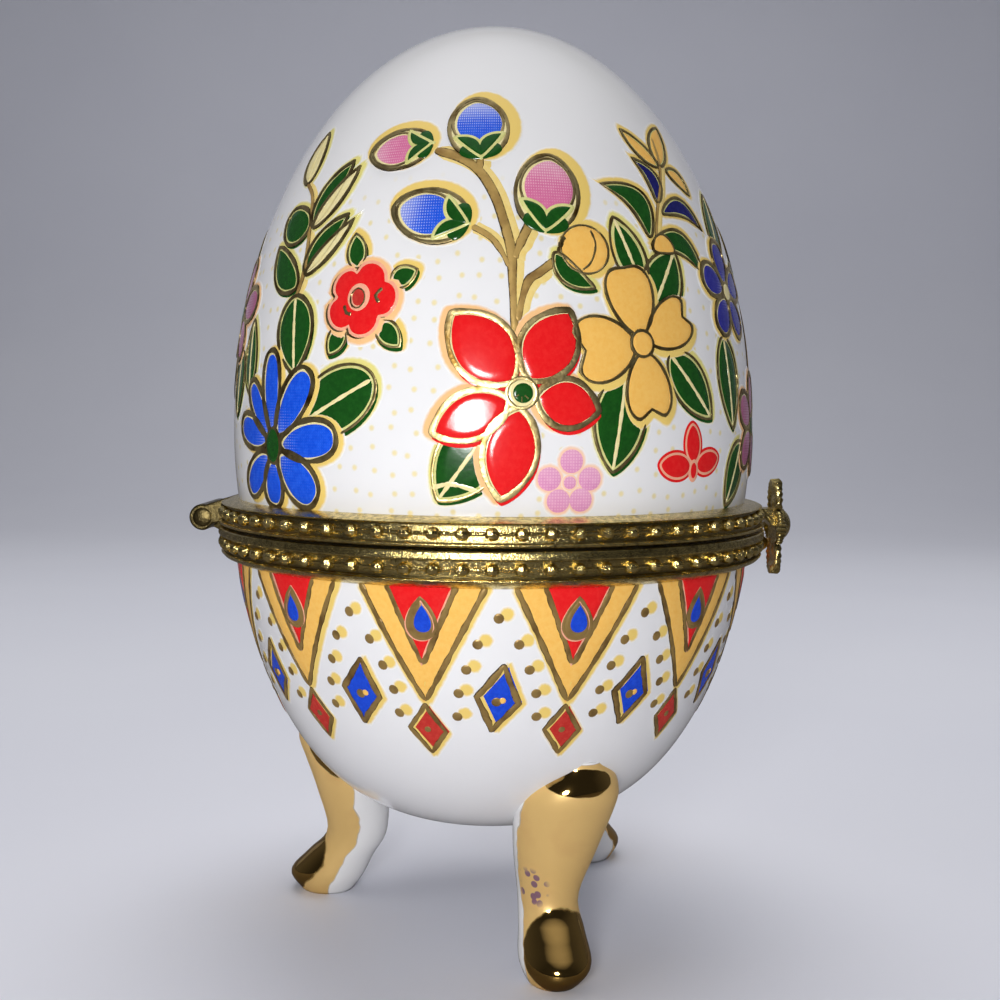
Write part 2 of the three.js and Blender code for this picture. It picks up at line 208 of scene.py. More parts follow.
LUSTRE_PATCH = 4
LUSTRE_RIPPLE = 2.5
# Shares of the way round the leg from its back, and of the way down it.
GILDING_MIDDLE = 0.543
GILDING_HALF = 0.3
GILDING_TOP = 0.085
BRUSH_PATCH = 3
BRUSH_WANDER = 0.07
PITS_AT = (4.0, -18.2, 8.9)
PITS_REACH = 2.3
PIT_SPACING = 0.95
# Middle and half size of each mirror, round the leg and down it.
MIRRORS = {
    "knee": ((0.47, 0.257), (0.14, 0.115)),
    "toe": ((0.5, 0.775), (0.23, 0.115)),
    "seat": ((0.76, 0.44), (0.085, 0.095)),
}
MIRROR_RAGGED = 0.3
MIRROR_DULL = 0.07
SATIN_DULL = 0.4
SATIN_METAL = 0.3


def flowing(points, count):
    """A smooth curve through the points, as evenly many samples or at the given shares of its length."""
    points = np.array(points, float)
    ends = np.concatenate(([2 * points[0] - points[1]], points, [2 * points[-1] - points[-2]]))
    place = np.linspace(0, len(points) - 1, count) if np.isscalar(count) else count * (len(points) - 1)
    first = np.minimum(place.astype(int), len(points) - 2)
    t = (place - first)[:, None]
    a, b, c, d = (ends[first + i] for i in range(4))
    straight = 2 * b + (c - a) * t
    return 0.5 * (straight + (2 * a - 5 * b + 4 * c - d) * t ** 2 + (3 * b - a - 3 * c + d) * t ** 3)


def points_of(piece):
    """The places of a mesh's points, one row each."""
    flat = np.zeros(3 * len(piece.data.vertices))
    piece.data.vertices.foreach_get("co", flat)
    return flat.reshape(-1, 3)


def shaped(name, columns, rows, place):
    """A flat grid whose points move to where place(u, v) puts them in mm, u and v running from 0 to 1."""
    grid = {"x_subdivisions": columns, "y_subdivisions": rows, "size": 1}
    piece = started(name, bpy.ops.mesh.primitive_grid_add, **grid)
    u, v = points_of(piece)[:, :2].T + 0.5
    piece.data.vertices.foreach_set("co", (np.stack(place(u, v), axis=1) * MM).ravel())
    tidy_mesh(ROUND_EDGE)
    return piece


def foot_surface(angle, lean):
    """The leg as a closed bag: u goes round it with the front in the middle, v runs down it."""
    def place(u, v):
        station = flowing(FOOT_STATIONS, np.clip((v - TOP_CAP) / (1 - TOP_CAP - SOLE_CAP), 0, 1))
        height, front, depth, width = station.T
        height = np.maximum(height, 0)
        draw_in = np.sqrt(np.clip(v / TOP_CAP, 0, 1)) * np.clip((1 - v) / SOLE_CAP, 0, 1)
        turn = 2 * math.pi * (u - 0.5)
        x = front - depth / 2 + depth / 2 * draw_in * np.cos(turn)
        y = lean * height + width / 2 * draw_in * np.sin(turn)
        out = np.hypot(x, y)
        seat = np.where(height > FLOOR_CLEARANCE, cup_radius(height) - SEAT_DEPTH, 0)
        push = np.maximum(out, seat) / np.maximum(out, 1e-6)
        a = math.radians(angle)
        across = x * math.cos(a) - y * math.sin(a)
        ahead = x * math.sin(a) + y * math.cos(a)
        return across * push, ahead * push, height
    return place


def lustred_porcelain():
    # Liquid gold on glaze: a dark mirror on knee and toe, thinner and satin down the shin, with a few pits.
    finish, tree, skin = new_finish("gold_lustre_on_glazed_porcelain")
    spot = wire(tree, "TexCoord")
    place = spot.outputs["Object"]
    leg = wire(tree, "SeparateXYZ", {0: spot.outputs["UV"]})
    brush = wire(tree, "TexNoise", {"Vector": place, "Scale": 1 / (BRUSH_PATCH * MM), "Detail": 2})
    sideways = wire(tree, "Math", {0: leg.outputs["X"], 1: GILDING_MIDDLE}, operation="SUBTRACT")
    sideways = wire(tree, "Math", {0: sideways}, operation="ABSOLUTE")
    wander = wire(tree, "Math", {0: brush, 1: BRUSH_WANDER, 2: sideways}, operation="MULTIPLY_ADD")
    front = wire(tree, "MapRange", {0: wander, 1: GILDING_HALF, 2: GILDING_HALF + 0.008, 3: 1, 4: 0})
    below = wire(tree, "MapRange", {0: leg.outputs["Y"], 1: GILDING_TOP, 2: GILDING_TOP + 0.015})
    gilt = wire(tree, "Math", {0: front, 1: below}, operation="MULTIPLY")
    pits = wire(tree, "TexVoronoi", {"Vector": place, "Scale": 1 / (PIT_SPACING * MM)})
    away = wire(tree, "VectorMath", {0: place, 1: [c * MM for c in PITS_AT]}, operation="DISTANCE")
    near = wire(tree, "MapRange", {0: pits, 1: 0.36, 2: 0.42, 3: 1, 4: 0})
    where = wire(tree, "MapRange", {0: away, 1: PITS_REACH * 0.7 * MM, 2: PITS_REACH * MM, 3: 1, 4: 0})
    pitted = wire(tree, "Math", {0: near, 1: where}, operation="MULTIPLY")
    thin = wire(tree, "TexNoise", {"Vector": place, "Scale": 1 / (LUSTRE_PATCH * MM), "Detail": 4})
    patchy = wire(tree, "MapRange", {0: thin, 1: 0.5, 2: 0.75})
    gold = wire(tree, "Mix", {0: patchy, 6: paint(LUSTRE), 7: paint(LUSTRE_THIN)}, data_type="RGBA")
    gold = wire(tree, "Mix", {0: pitted, 6: gold, 7: paint(LUSTRE_PIT)}, data_type="RGBA")
    shin = gilt
    for (across, down), (half_across, half_down) in MIRRORS.values():
        shifted = wire(tree, "VectorMath", {
            0: spot.outputs["UV"],
            1: (1 / half_across, 1 / half_down, 0),
            2: (-across / half_across, -down / half_down, 0),
        }, operation="MULTIPLY_ADD")
        apart = wire(tree, "VectorMath", {0: shifted}, operation="LENGTH")
        ragged = wire(tree, "Math", {0: brush, 1: MIRROR_RAGGED, 2: apart}, operation="MULTIPLY_ADD")
        outside = wire(tree, "MapRange", {0: ragged, 1: 1.1, 2: 1.16})
        shin = wire(tree, "Math", {0: shin, 1: outside}, operation="MULTIPLY")
    gold = wire(tree, "Mix", {0: shin, 6: paint(LUSTRE_THICK), 7: gold}, data_type="RGBA")
    colour = wire(tree, "Mix", {0: gilt, 6: paint(GLAZE_WHITE), 7: gold}, data_type="RGBA")
    dull = wire(tree, "MapRange", {0: shin, 3: MIRROR_DULL, 4: SATIN_DULL})
    leaf_gold = wire(tree, "MapRange", {0: shin, 3: 1.0, 4: SATIN_METAL})
    leaf_gold = wire(tree, "Math", {0: gilt, 1: leaf_gold}, operation="MULTIPLY")
    ripple = wire(tree, "TexNoise", {"Vector": place, "Scale": 1 / (LUSTRE_RIPPLE * MM)})
    bump = wire(tree, "Bump", {"Height": ripple, "Strength": 0.12, "Distance": RIPPLE_DEPTH * MM})
    wire(tree, skin, {"Base Color": colour, "Metallic": leaf_gold, "Roughness": dull, "Normal": bump})
    return finish


gilded_foot = lustred_porcelain()
for foot_name, (foot_angle, foot_lean) in FEET.items():
    foot = shaped("gilded_" + foot_name, FOOT_COLUMNS, FOOT_ROWS, foot_surface(foot_angle, foot_lean))
    wear(foot, gilded_foot)
    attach(foot, "base")
    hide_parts(foot_name)

# The base bezel is a band of brass, spun to a channel over the cup's neck, gilt and left to darken, with
# painted shade in its hollows.
# A plain lip stands above a groove for the beads, and a sloping skirt laps the porcelain.
BASE_FACE = 44.35
LIP_RADIUS = 30.24
GROOVE_RADIUS = 29.43
GROOVE_LEAN = 0.12
GROOVE_HEIGHT = 1.7
SHOULDER_RADIUS = 28.09
CHANNEL_OUTER = 27.94
CHANNEL_INNER = 25.19
LINING_RADIUS = 24.59
LINING_HEIGHT = 2.2
FLANGE = 0.7
SKIRT_LAP = 0.25
BASE_LIP = 0.87
BASE_SKIRT = 1.03
BEZEL_STEPS = 144
EDGE_SOFTENING = 0.07
SHARP_EDGE = 30
BRASS = "#F6DE92"
BRASS_DARK = "#2E2214"
# Reach of the ambient occlusion that paints shade into the brass's hollows.
HOLLOW_SHADE_REACH = 1.2
BRASS_GRAIN = 0.17
TARNISH = 0.5
TARNISH_EDGE = 0.28
TARNISH_DEPTH = 0.88
TARNISH_DULLING = 0.12


def bezel_section(lip, skirt):
    """Half of a bezel's channel as (radius, distance from the parting face) pairs in mm."""
    groove_end = lip + GROOVE_HEIGHT
    edge = groove_end + skirt
    return [
        (LINING_RADIUS, 0),
        (LIP_RADIUS - 0.2, 0),
        (LIP_RADIUS - 0.09, lip * 0.12),
        (LIP_RADIUS, lip * 0.85),
        (LIP_RADIUS - 0.1, lip),
        (GROOVE_RADIUS + GROOVE_LEAN, lip),
        (GROOVE_RADIUS - GROOVE_LEAN, groove_end),
        (LIP_RADIUS - 0.5, groove_end),
        (LIP_RADIUS - 0.28, groove_end + 0.14),
        (LIP_RADIUS - 0.62, groove_end + skirt * 0.5),
        (SHOULDER_RADIUS + SKIRT_LAP + 0.35, edge - 0.1),
        (SHOULDER_RADIUS + SKIRT_LAP, edge),
        (CHANNEL_OUTER, edge),
        (CHANNEL_OUTER, FLANGE),
        (CHANNEL_INNER, FLANGE),
        (CHANNEL_INNER, LINING_HEIGHT),
        (LINING_RADIUS, LINING_HEIGHT),
    ]


def soften(piece, width):
    """Rounds the sharp edges of a piece."""
    bpy.context.view_layer.objects.active = piece
    edge = piece.modifiers.new("soft_edges", "BEVEL")
    edge.width = width * MM
    edge.segments = 2
    edge.limit_method = "ANGLE"
    edge.angle_limit = math.radians(SHARP_EDGE)
    edge.use_clamp_overlap = True
    bpy.ops.object.modifier_apply(modifier=edge.name)


def gilt_brass(name, clean, sheen, grit):
    # Stamped brass, thinly gilt: its fine grain sparkles lemon yellow, with brown tarnish in random patches
    # and painted shade darkening its hollows.
    finish, tree, metal = new_finish(name)
    place = wire(tree, "TexCoord").outputs["Object"]
    patches = {"Vector": place, "Scale": 1 / (TARNISH * MM), "Detail": 6, "Roughness": 0.68}
    cloud = wire(tree, "TexNoise", patches)
    stain = wire(tree, "MapRange", {0: cloud, 1: clean, 2: clean + TARNISH_EDGE, 4: TARNISH_DEPTH})
    # Painted shade: on top of the random tarnish, the brass is mixed towards its dark colour where ambient
    # occlusion finds hollows.
    occlusion = wire(tree, "AmbientOcclusion", {"Distance": HOLLOW_SHADE_REACH * MM}, samples=8, only_local=True)
    hollow_shade = wire(tree, "MapRange", {0: occlusion.outputs["AO"], 1: 0.5, 2: 0.95, 3: 1, 4: 0})
    dark = wire(tree, "Math", {0: stain, 1: hollow_shade}, operation="MAXIMUM")
    tint = wire(tree, "Mix", {0: dark, 6: paint(BRASS), 7: paint(BRASS_DARK)}, data_type="RGBA")
    dull = wire(tree, "MapRange", {0: dark, 3: sheen, 4: sheen + TARNISH_DULLING})
    rub = wire(tree, "TexNoise", {"Vector": place, "Scale": 1 / (BRASS_GRAIN * MM), "Detail": 2})
    skin = wire(tree, "Bump", {"Height": rub, "Strength": 1.0, "Distance": grit * MM})
    wire(tree, metal, {"Base Color": tint, "Metallic": 1.0, "Roughness": dull, "Normal": skin})
    return finish


band_brass = gilt_brass("gilt_brass_darkened", 0.42, 0.2, 0.06)
base_section = [(radius, BASE_FACE - drop) for radius, drop in bezel_section(BASE_LIP, BASE_SKIRT)]
base_bezel = turned("base_bezel_band", base_section, BEZEL_STEPS)
soften(base_bezel, EDGE_SOFTENING)
wear(base_bezel, band_brass)
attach(base_bezel, "base")
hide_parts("base_bezel")

# A row of cast beads strung on a wire sits in each bezel's groove, soldered along its back.
# They are brass domes with a gap of about their own width between them.
BEAD_COUNT = 70
BEAD_RING = 29.6
BEAD_RADIUS = 0.64
BEAD_FLATTEN = 0.96
BEAD_STRETCH = 1.12
BEAD_UNEVEN = 0.055
BEAD_SIDES = 9
BEAD_RINGS = 6
BEAD_SEED = 3
STRING_RADIUS = 0.24
STRING_DEPTH = 0.24
STRING_POINTS = 8
BASE_BEAD_HEIGHT = 42.63
NOTCH_HALF = 5.0


def joined(name, parts):
    """Several pieces as one, with its place in its mesh."""
    bpy.ops.object.select_all(action="DESELECT")
    for part in parts:
        part.select_set(True)
    bpy.context.view_layer.objects.active = parts[0]
    if len(parts) > 1:
        bpy.ops.object.join()
    parts[0].name = name
    parts[0].data.name = name
    return parts[0]


def copied(piece, spots):
    """A copy of a piece with its points in other places, in metres."""
    twin = piece.copy()
    twin.data = piece.data.copy()
    bpy.context.scene.collection.objects.link(twin)
    twin.data.vertices.foreach_set("co", spots.ravel())
    return twin


def bead_row(name, height, notched):
    """Beads on their wire round the bezel, left out where the hinge leaf is let in."""
    gap = math.asin(NOTCH_HALF / BEAD_RING) if notched else 0
    string = [
        (BEAD_RING - STRING_DEPTH + STRING_RADIUS * math.cos(a), height + STRING_RADIUS * math.sin(a))
        for a in np.linspace(0, 2 * math.pi, STRING_POINTS, endpoint=False)
    ]
    parts = [turned(name, string, BEZEL_STEPS, start=math.pi + gap, sweep=2 * (math.pi - gap))]
    edit((bpy.ops.mesh.fill_holes, {"sides": STRING_POINTS}))
    ball = {"segments": BEAD_SIDES, "ring_count": BEAD_RINGS, "radius": BEAD_RADIUS * MM}
    first_bead = started("bead", bpy.ops.mesh.primitive_uv_sphere_add, **ball)
    oval = (1, BEAD_STRETCH, BEAD_FLATTEN)
    edit(
        (bpy.ops.transform.resize, {"value": oval, "center_override": (0, 0, 0)}),
        (bpy.ops.transform.vertex_random, {"offset": BEAD_UNEVEN * MM, "normal": 1.0, "seed": BEAD_SEED}),
    )
    in_front = points_of(first_bead) + np.array([BEAD_RING, 0, height]) * MM
    for k in range(BEAD_COUNT):
        turn = 2 * math.pi * (k + 0.5) / BEAD_COUNT
        if notched and abs(turn - math.pi) < gap:
            continue
        parts.append(copied(first_bead, in_front @ np.array(Matrix.Rotation(turn, 3, "Z")).T))
    bpy.data.objects.remove(first_bead)
    return joined(name, parts)


bead_brass = gilt_brass("gilt_brass_rubbed_bright", 0.62, 0.2, 0.07)
base_beads = bead_row("base_beading", BASE_BEAD_HEIGHT, False)
wear(base_beads, bead_brass)
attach(base_beads, "base")
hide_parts("base_bead_row")

# The base half of the hinge is a short brass web soldered to the bezel's lip, with the middle knuckle.
# The knuckle is rolled from the same strip and turns on the pin.
HINGE_X = -31.69
HINGE_Z = 45.0
BARREL_RADIUS = 1.44
BARREL_ARC = 28
BASE_ROLL = (20, 290)
KNUCKLE_LENGTH = 2.8
WEB_DEPTH = 1.3
WEB_FOOT = -30.1
WEB_SEAT = -30.0
WEB_ROOM = 0.05
STRIP_SOFTENING = 0.12


def extruded(name, outline, left, right, softening=STRIP_SOFTENING):
    """A closed (x, z) outline in mm, filled and drawn out along Y from left to right."""
    piece = started(name, bpy.ops.mesh.primitive_circle_add, vertices=len(outline), radius=1)
    for point, (x, z) in zip(piece.data.vertices, outline):
        point.co = (x * MM, left * MM, z * MM)
    draw = {"value": (0, (right - left) * MM, 0)}
    edit(
        (bpy.ops.mesh.edge_face_add, {}),
        (bpy.ops.mesh.extrude_region_move, {"TRANSFORM_OT_translate": draw}),
    )
    tidy_mesh(SHARP_EDGE)
    soften(piece, softening)
    tidy_mesh(SHARP_EDGE)
    return piece


def barrel(radius, start, end, count, endpoint=True):
    """An arc round the hinge's axis, between two angles in degrees."""
    turns = np.radians(np.linspace(start, end, count, endpoint=endpoint))
    return [(HINGE_X + radius * math.cos(a), HINGE_Z + radius * math.sin(a)) for a in turns]


hinge_brass = gilt_brass("gilt_brass_blackened", 0.12, 0.22, 0.04)
middle_knuckle = barrel(BARREL_RADIUS, *BASE_ROLL, BARREL_ARC)
middle_knuckle += [(WEB_FOOT, BASE_FACE - WEB_DEPTH), (WEB_SEAT, BASE_FACE - WEB_ROOM)]
half_knuckle = KNUCKLE_LENGTH / 2
base_leaf = extruded("base_hinge_knuckle", middle_knuckle, -half_knuckle, half_knuckle)
wear(base_leaf, hinge_brass)
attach(base_leaf, "base")
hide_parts("base_hinge_leaf")

# The catch stud is a small turned brass button soldered to the base's beads, under the clasp.
# The sprung clasp closes over it.
STUD_SEAT = 30.2
STUD_RADIUS = 0.95
STUD_REACH = 31.44
STUD_HEIGHT = 42.2
BUTTON_COLUMNS = 32
BUTTON_ROWS = 24
DOME_SHARE = 0.8
RING_AT = 0.62
RING_WIDTH = 0.05


def button_surface(radius, seat, crown, height, ring=0.0):
    """A dome along +X as a closed bag: v runs from the crown over the rim to the middle of the seat."""
    def place(u, v):
        fall = np.clip(v / DOME_SHARE, 0, 1) * math.pi / 2
        out = radius * np.where(v < DOME_SHARE, np.sin(fall), (1 - v) / (1 - DOME_SHARE))
        rise = np.where(v < DOME_SHARE, np.cos(fall), 0)
        rise = rise + ring * np.exp(-(((v - RING_AT) / RING_WIDTH) ** 2))
        turn = 2 * math.pi * u
        return seat + (crown - seat) * np.minimum(rise, 1), out * np.cos(turn), height + out * np.sin(turn)
    return place


stud_surface = button_surface(STUD_RADIUS, STUD_SEAT, STUD_REACH, STUD_HEIGHT)
tarnished_brass = gilt_brass("gilt_brass_tarnished", 0.42, 0.2, 0.05)
stud = shaped("catch_button", BUTTON_COLUMNS, BUTTON_ROWS, stud_surface)
wear(stud, tarnished_brass)
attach(stud, "base")
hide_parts("catch_stud")

# The lid is the taller half of the egg, slip-cast and glazed as the cup is.
# Pale yellow specks are printed over the white ground between its flowers.
LID_RADIUS = 28.5
LID_BELLY = 54.1
LID_CROWN = 98.3
MOUTH_TAPER = 38.3
LID_SHOULDER = 47.1
LID_RIM = 45.65
SPECK_YELLOW = "#EFD978"
SPECK_PITCH = 1.95
SPECK_RADIUS = 0.27
SPECK_STRENGTH = 0.65
SPECKS_TO = 79
SPECKS_FADE = 4


def lid_radius(height):
    reach = np.where(height > LID_BELLY, LID_CROWN - LID_BELLY, MOUTH_TAPER)
    return LID_RADIUS * np.sqrt(np.clip(1 - ((height - LID_BELLY) / reach) ** 2, 0, None))


def unrolled(tree):
    """The egg laid flat for a print: metres round it and metres up it, joined at the back."""
    place = wire(tree, "TexCoord").outputs["Object"]
    ahead = wire(tree, "VectorMath", {0: place, 1: (1, -1, 1)}, operation="MULTIPLY")
    axes = wire(tree, "SeparateXYZ", {0: ahead})
    turn = wire(tree, "Math", {0: axes.outputs["X"], 1: axes.outputs["Y"]}, operation="ARCTAN2")
    across = wire(tree, "Math", {0: turn, 1: LID_RADIUS * MM}, operation="MULTIPLY")
    return wire(tree, "CombineXYZ", {0: across, 1: axes.outputs["Z"]})


def specked_porcelain():
    # The same glaze with soft yellow printed specks in uneven rows, fading out towards the crown.
    finish = glazed_porcelain("glazed_porcelain_with_printed_specks")
    tree = finish.node_tree
    glaze = tree.nodes["Principled BSDF"]
    plain = glaze.inputs["Base Color"].links[0].from_socket
    flat = unrolled(tree)
    rows = {"Vector": flat, "Scale": 1 / (SPECK_PITCH * MM), "Randomness": 0.45}
    specks = wire(tree, "TexVoronoi", rows, voronoi_dimensions="2D")
    size = SPECK_RADIUS / SPECK_PITCH
    near = wire(tree, "MapRange", {0: specks, 1: size * 0.5, 2: size * 1.3, 3: SPECK_STRENGTH, 4: 0})
    up = wire(tree, "SeparateXYZ", {0: flat}).outputs["Y"]
    low = wire(tree, "MapRange", {0: up, 1: SPECKS_TO * MM, 2: (SPECKS_TO - SPECKS_FADE) * MM})
    printed = wire(tree, "Math", {0: near, 1: low}, operation="MULTIPLY")
    colour = wire(tree, "Mix", {0: printed, 6: plain, 7: paint(SPECK_YELLOW)}, data_type="RGBA")
    wire(tree, glaze, {"Base Color": colour})
    return finish


lid_outline = shell_outline(lid_radius, LID_SHOULDER, LID_CROWN, LID_RIM)
lid = turned("lid", lid_outline, EGG_STEPS)
wear(lid, specked_porcelain())
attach(lid, "lid")
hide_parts("lid_shell")

# The lid bezel is the twin of the base's, with a thinner lip and a notch cut for the hinge leaf.
# It is spun from the same gilt brass and cemented round the lid's neck.
LID_FACE = 44.65
LID_LIP = 0.33
LID_SKIRT = 0.62
NOTCH_FLOOR = 28.99
NOTCH_DEPTH = 4
lid_section = [(radius, LID_FACE + rise) for radius, rise in bezel_section(LID_LIP, LID_SKIRT)]
lid_bezel = turned("lid_bezel_band", lid_section, BEZEL_STEPS)
soften(lid_bezel, EDGE_SOFTENING)
notch_cutter = started("notch_cutter", bpy.ops.mesh.primitive_cube_add, size=1)
notch_size = np.array([NOTCH_DEPTH, 2 * NOTCH_HALF, NOTCH_DEPTH]) * MM
notch_middle = np.array([-(NOTCH_FLOOR + NOTCH_DEPTH / 2), 0, LID_FACE + 1]) * MM
for corner in notch_cutter.data.vertices:
    corner.co = np.array(corner.co) * notch_size + notch_middle
cut = lid_bezel.modifiers.new("hinge_notch", "BOOLEAN")
cut.object = notch_cutter
cut.operation = "DIFFERENCE"
cut.solver = "EXACT"
bpy.context.view_layer.objects.active = lid_bezel
bpy.ops.object.modifier_apply(modifier=cut.name)
bpy.data.objects.remove(notch_cutter)
bpy.ops.object.select_all(action="DESELECT")
lid_bezel.select_set(True)
bpy.ops.object.shade_smooth_by_angle(angle=math.radians(SOFT_EDGE))
wear(lid_bezel, band_brass)
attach(lid_bezel, "lid")
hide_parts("lid_bezel")

# The lid has its own row of brass beads, the same casting as the base's, soldered into its groove.
# The row stops at each side of the hinge leaf.
LID_BEAD_HEIGHT = 45.83
lid_beads = bead_row("lid_beading", LID_BEAD_HEIGHT, True)
wear(lid_beads, bead_brass)
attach(lid_beads, "lid")
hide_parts("lid_bead_row")

# The lid half of the hinge is a brass leaf let into the bezel's notch, rolled to two outer knuckles.
# A brass pin runs through all three knuckles, peened over at both ends, and turns with the lid.
HINGE_LENGTH = 9.4
KNUCKLE_GAP = 0.12
KNUCKLE_SOFTENING = 0.3
LID_ROLL = (75, 285)
LEAF_SEAT = -28.9
LEAF_FACE = -29.75
LEAF_TOP = 47.2
LEAF_SLOPE = 0.25
STRIP_FOOT = -30.6
STRIP_DROP = 0.35
PIN_RADIUS = 0.45
PIN_SIDES = 24
PIN_HEAD_RADIUS = 1.1
PIN_HEAD_RISE = 0.3
PIN_HEAD_SINK = 0.1


def pin_head_surface(hand):
    """A low dome on the barrel's end, towards -Y or +Y."""
    def place(u, v):
        reach, across, up = button_surface(PIN_HEAD_RADIUS, 0, PIN_HEAD_RISE, 0)(u, v)
        return HINGE_X + across, hand * (half_hinge - PIN_HEAD_SINK + reach), HINGE_Z + up
    return place


half_hinge = HINGE_LENGTH / 2
knuckle_end = half_knuckle + KNUCKLE_GAP
leaf_back = [(LEAF_SEAT, LID_FACE), (LEAF_SEAT, LEAF_TOP)]
outer_knuckle = barrel(BARREL_RADIUS, *LID_ROLL, BARREL_ARC)
outer_knuckle += [(STRIP_FOOT, LID_FACE - STRIP_DROP), *leaf_back]
leaf_plate = leaf_back + [(LEAF_FACE, LEAF_TOP - LEAF_SLOPE), (LEAF_FACE, LID_FACE)]
lid_leaf = joined("lid_hinge_knuckles", [
    extruded("knuckle", outer_knuckle, -half_hinge, -knuckle_end, KNUCKLE_SOFTENING),
    extruded("knuckle", outer_knuckle, knuckle_end, half_hinge, KNUCKLE_SOFTENING),
    extruded("leaf", leaf_plate, -half_hinge, half_hinge),
])
wear(lid_leaf, hinge_brass)
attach(lid_leaf, "lid")
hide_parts("lid_hinge_leaf")
pin_outline = barrel(PIN_RADIUS, 0, 360, PIN_SIDES, endpoint=False)
pin_parts = [extruded("hinge_wire", pin_outline, -half_hinge, half_hinge)]
for hand in (-1, 1):
    pin_parts.append(shaped("pin_head", BUTTON_COLUMNS, BUTTON_ROWS, pin_head_surface(hand)))
pin = joined("hinge_wire", pin_parts)
wear(pin, hinge_brass)
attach(pin, "lid")
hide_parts("hinge_pin")

# The clasp is a bent strip of spring brass soldered to the lid's beads, a pressed flower with four petals,
# and a domed boss riveted on its face. It is pushed aside to open the box.
ARM_HALF = 1.5
ARM_OUTLINE = [
    (29.9, 45.55), (30.9, 44.95), (31.5, 44.2), (31.95, 44.2), (31.95, 46.2), (30.9, 46.2), (29.9, 46.25),
]
FLOWER_BACK = 31.58
FLOWER_FRONT = 32.85
FLOWER_MIDDLE = 44.1
FLOWER_HALF_HEIGHT = 5.45
FLOWER_HALF_WIDTH = 3.6
FLOWER_WAIST = 2.5
PETAL_FULLNESS = 0.55
RIM_BEADS = 26
RIM_KNURL = 0.05
RIM_RISE = 0.2
RIB_WIDTH = 0.45
RIB_WAVES = 14
FRONT_LEVEL = 0.55
FRONT_KNOBS = 0.3
BACK_LEVEL = 0.28
FLOWER_COLUMNS = 156
FLOWER_ROWS = 40
# Shares of the way from the middle of the front face, over the rim, to the middle of the back.
FACE_SHARE = 0.55
FRONT_SHARE = 0.62
BACK_SHARE = 0.38
BOSS_RADIUS = 1.9
BOSS_SEAT = 32.3
BOSS_CROWN = 33.88
BOSS_HEIGHT = 44.35
BOSS_RING = 0.12


def clasp_flower_surface(u, v):
    """A pressed four-petal flower as a closed bag: front face, beaded rim, then back face as v grows."""
    turn = 2 * math.pi * u
    upright = np.abs(np.cos(turn)) > math.sqrt(0.5)
    reach = np.where(upright, FLOWER_HALF_HEIGHT, FLOWER_HALF_WIDTH)
    knurl = np.cos(RIM_BEADS * turn) ** 2
    edge = FLOWER_WAIST + (reach - FLOWER_WAIST) * np.abs(np.cos(2 * turn)) ** PETAL_FULLNESS
    edge = edge * (1 - RIM_KNURL + RIM_KNURL * knurl)
    front = v < FRONT_SHARE
    part = np.clip(np.where(front, v / FACE_SHARE, (1 - v) / BACK_SHARE), 0, 1)
    along = part * edge / reach
    rib = np.exp(-((np.sin(2 * turn) / RIB_WIDTH) ** 2))
    knob = (0.5 + 0.5 * np.cos(RIB_WAVES * along)) * rib * part
    rim = np.exp(-(((part - 0.9) / 0.1) ** 2)) * (0.4 + 0.6 * knurl)
    beaded = RIM_RISE * rim * (part < 1)
    face = FRONT_LEVEL + FRONT_KNOBS * knob + beaded
    rise = np.where(front, face, BACK_LEVEL - BACK_LEVEL * knob - beaded)
    x = FLOWER_BACK + (FLOWER_FRONT - FLOWER_BACK) * np.clip(rise, 0, 1)
    return x, -part * edge * np.sin(turn), FLOWER_MIDDLE + part * edge * np.cos(turn)


clasp_arm = extruded("clasp_strip", ARM_OUTLINE, -ARM_HALF, ARM_HALF)
wear(clasp_arm, tarnished_brass)
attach(clasp_arm, "clasp")
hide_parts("clasp_arm")
clasp_flower = shaped("clasp_pressed_flower", FLOWER_COLUMNS, FLOWER_ROWS, clasp_flower_surface)
wear(clasp_flower, tarnished_brass)
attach(clasp_flower, "clasp")
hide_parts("clasp_flower")
boss_surface = button_surface(BOSS_RADIUS, BOSS_SEAT, BOSS_CROWN, BOSS_HEIGHT, BOSS_RING)
clasp_boss = shaped("clasp_rivet_boss", BUTTON_COLUMNS, BUTTON_ROWS, boss_surface)
wear(clasp_boss, tarnished_brass)
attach(clasp_boss, "clasp")
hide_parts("clasp_boss")

# The border round the cup is a printed transfer, fired on over the glaze: twelve pointed swags below the
# bezel, a red lozenge at each point, a blue one between, and falling dots. Gold lines lie over the colours.
EGG_SAMPLES = 6001
COLUMNS = 40
SWAG_COLUMNS = 39
DOT_COLUMNS = 12
FILM_PARTS = (0, 0.35, 0.7, 1)
FILM_EDGE = 0.08
FILM_THICKNESS = 0.1
FILM_SMOOTH = 50
STROKE_END = 0.05
HALF_ROUND = ((-1, -0.3), (-0.8, 0.7), (0, 1), (0.8, 0.7), (1, -0.3))
GROUND_LIFT = 0.03
GROUND_EDGE_LIFT = 0.012
COLOUR_LIFT = 0.06
LINE_LIFT = 0.14
LOW_LINE_LIFT = 0.1
EYE_LIFT = 0.12
FEATHER = 0.55
PRINT_GRAIN = 0.5
GRAIN_DEPTH = 0.1
# Halftone lines are about 0.2 mm apart on the print, drawn coarser here so that they show.
HALFTONE_PITCH = 0.27
WAVE_PERIOD = 0.314
SWAGS = 12
SWAG_FIRST = 16.5
SWAG_ANCHOR = 36.5
SWAG_TOP = 41.0
SWAG_HALF_TURN = 12.5
SWAG_TIP = 29.5
FIELD_HALF_TURN = 6.9
FIELD_TIP = 33.2
DROP_HEIGHT = 37.4
BETWEEN = 180 / SWAGS
RED_LOZENGE_HEIGHT = 26.7
RED_LOZENGE = [(0, 2.7), (1.75, -0.2), (0.1, -2.75), (-1.75, 0.1)]
BLUE_LOZENGE_HEIGHT = 30.1
BLUE_LOZENGE = [(0.55, 3.4), (1.95, -0.5), (-0.45, -3.4), (-1.95, 0.2)]
FALLING_DOTS = ((0, 38), (4, 35.5), (6.3, 33), (8, 30.6), (8.5, 28.2))
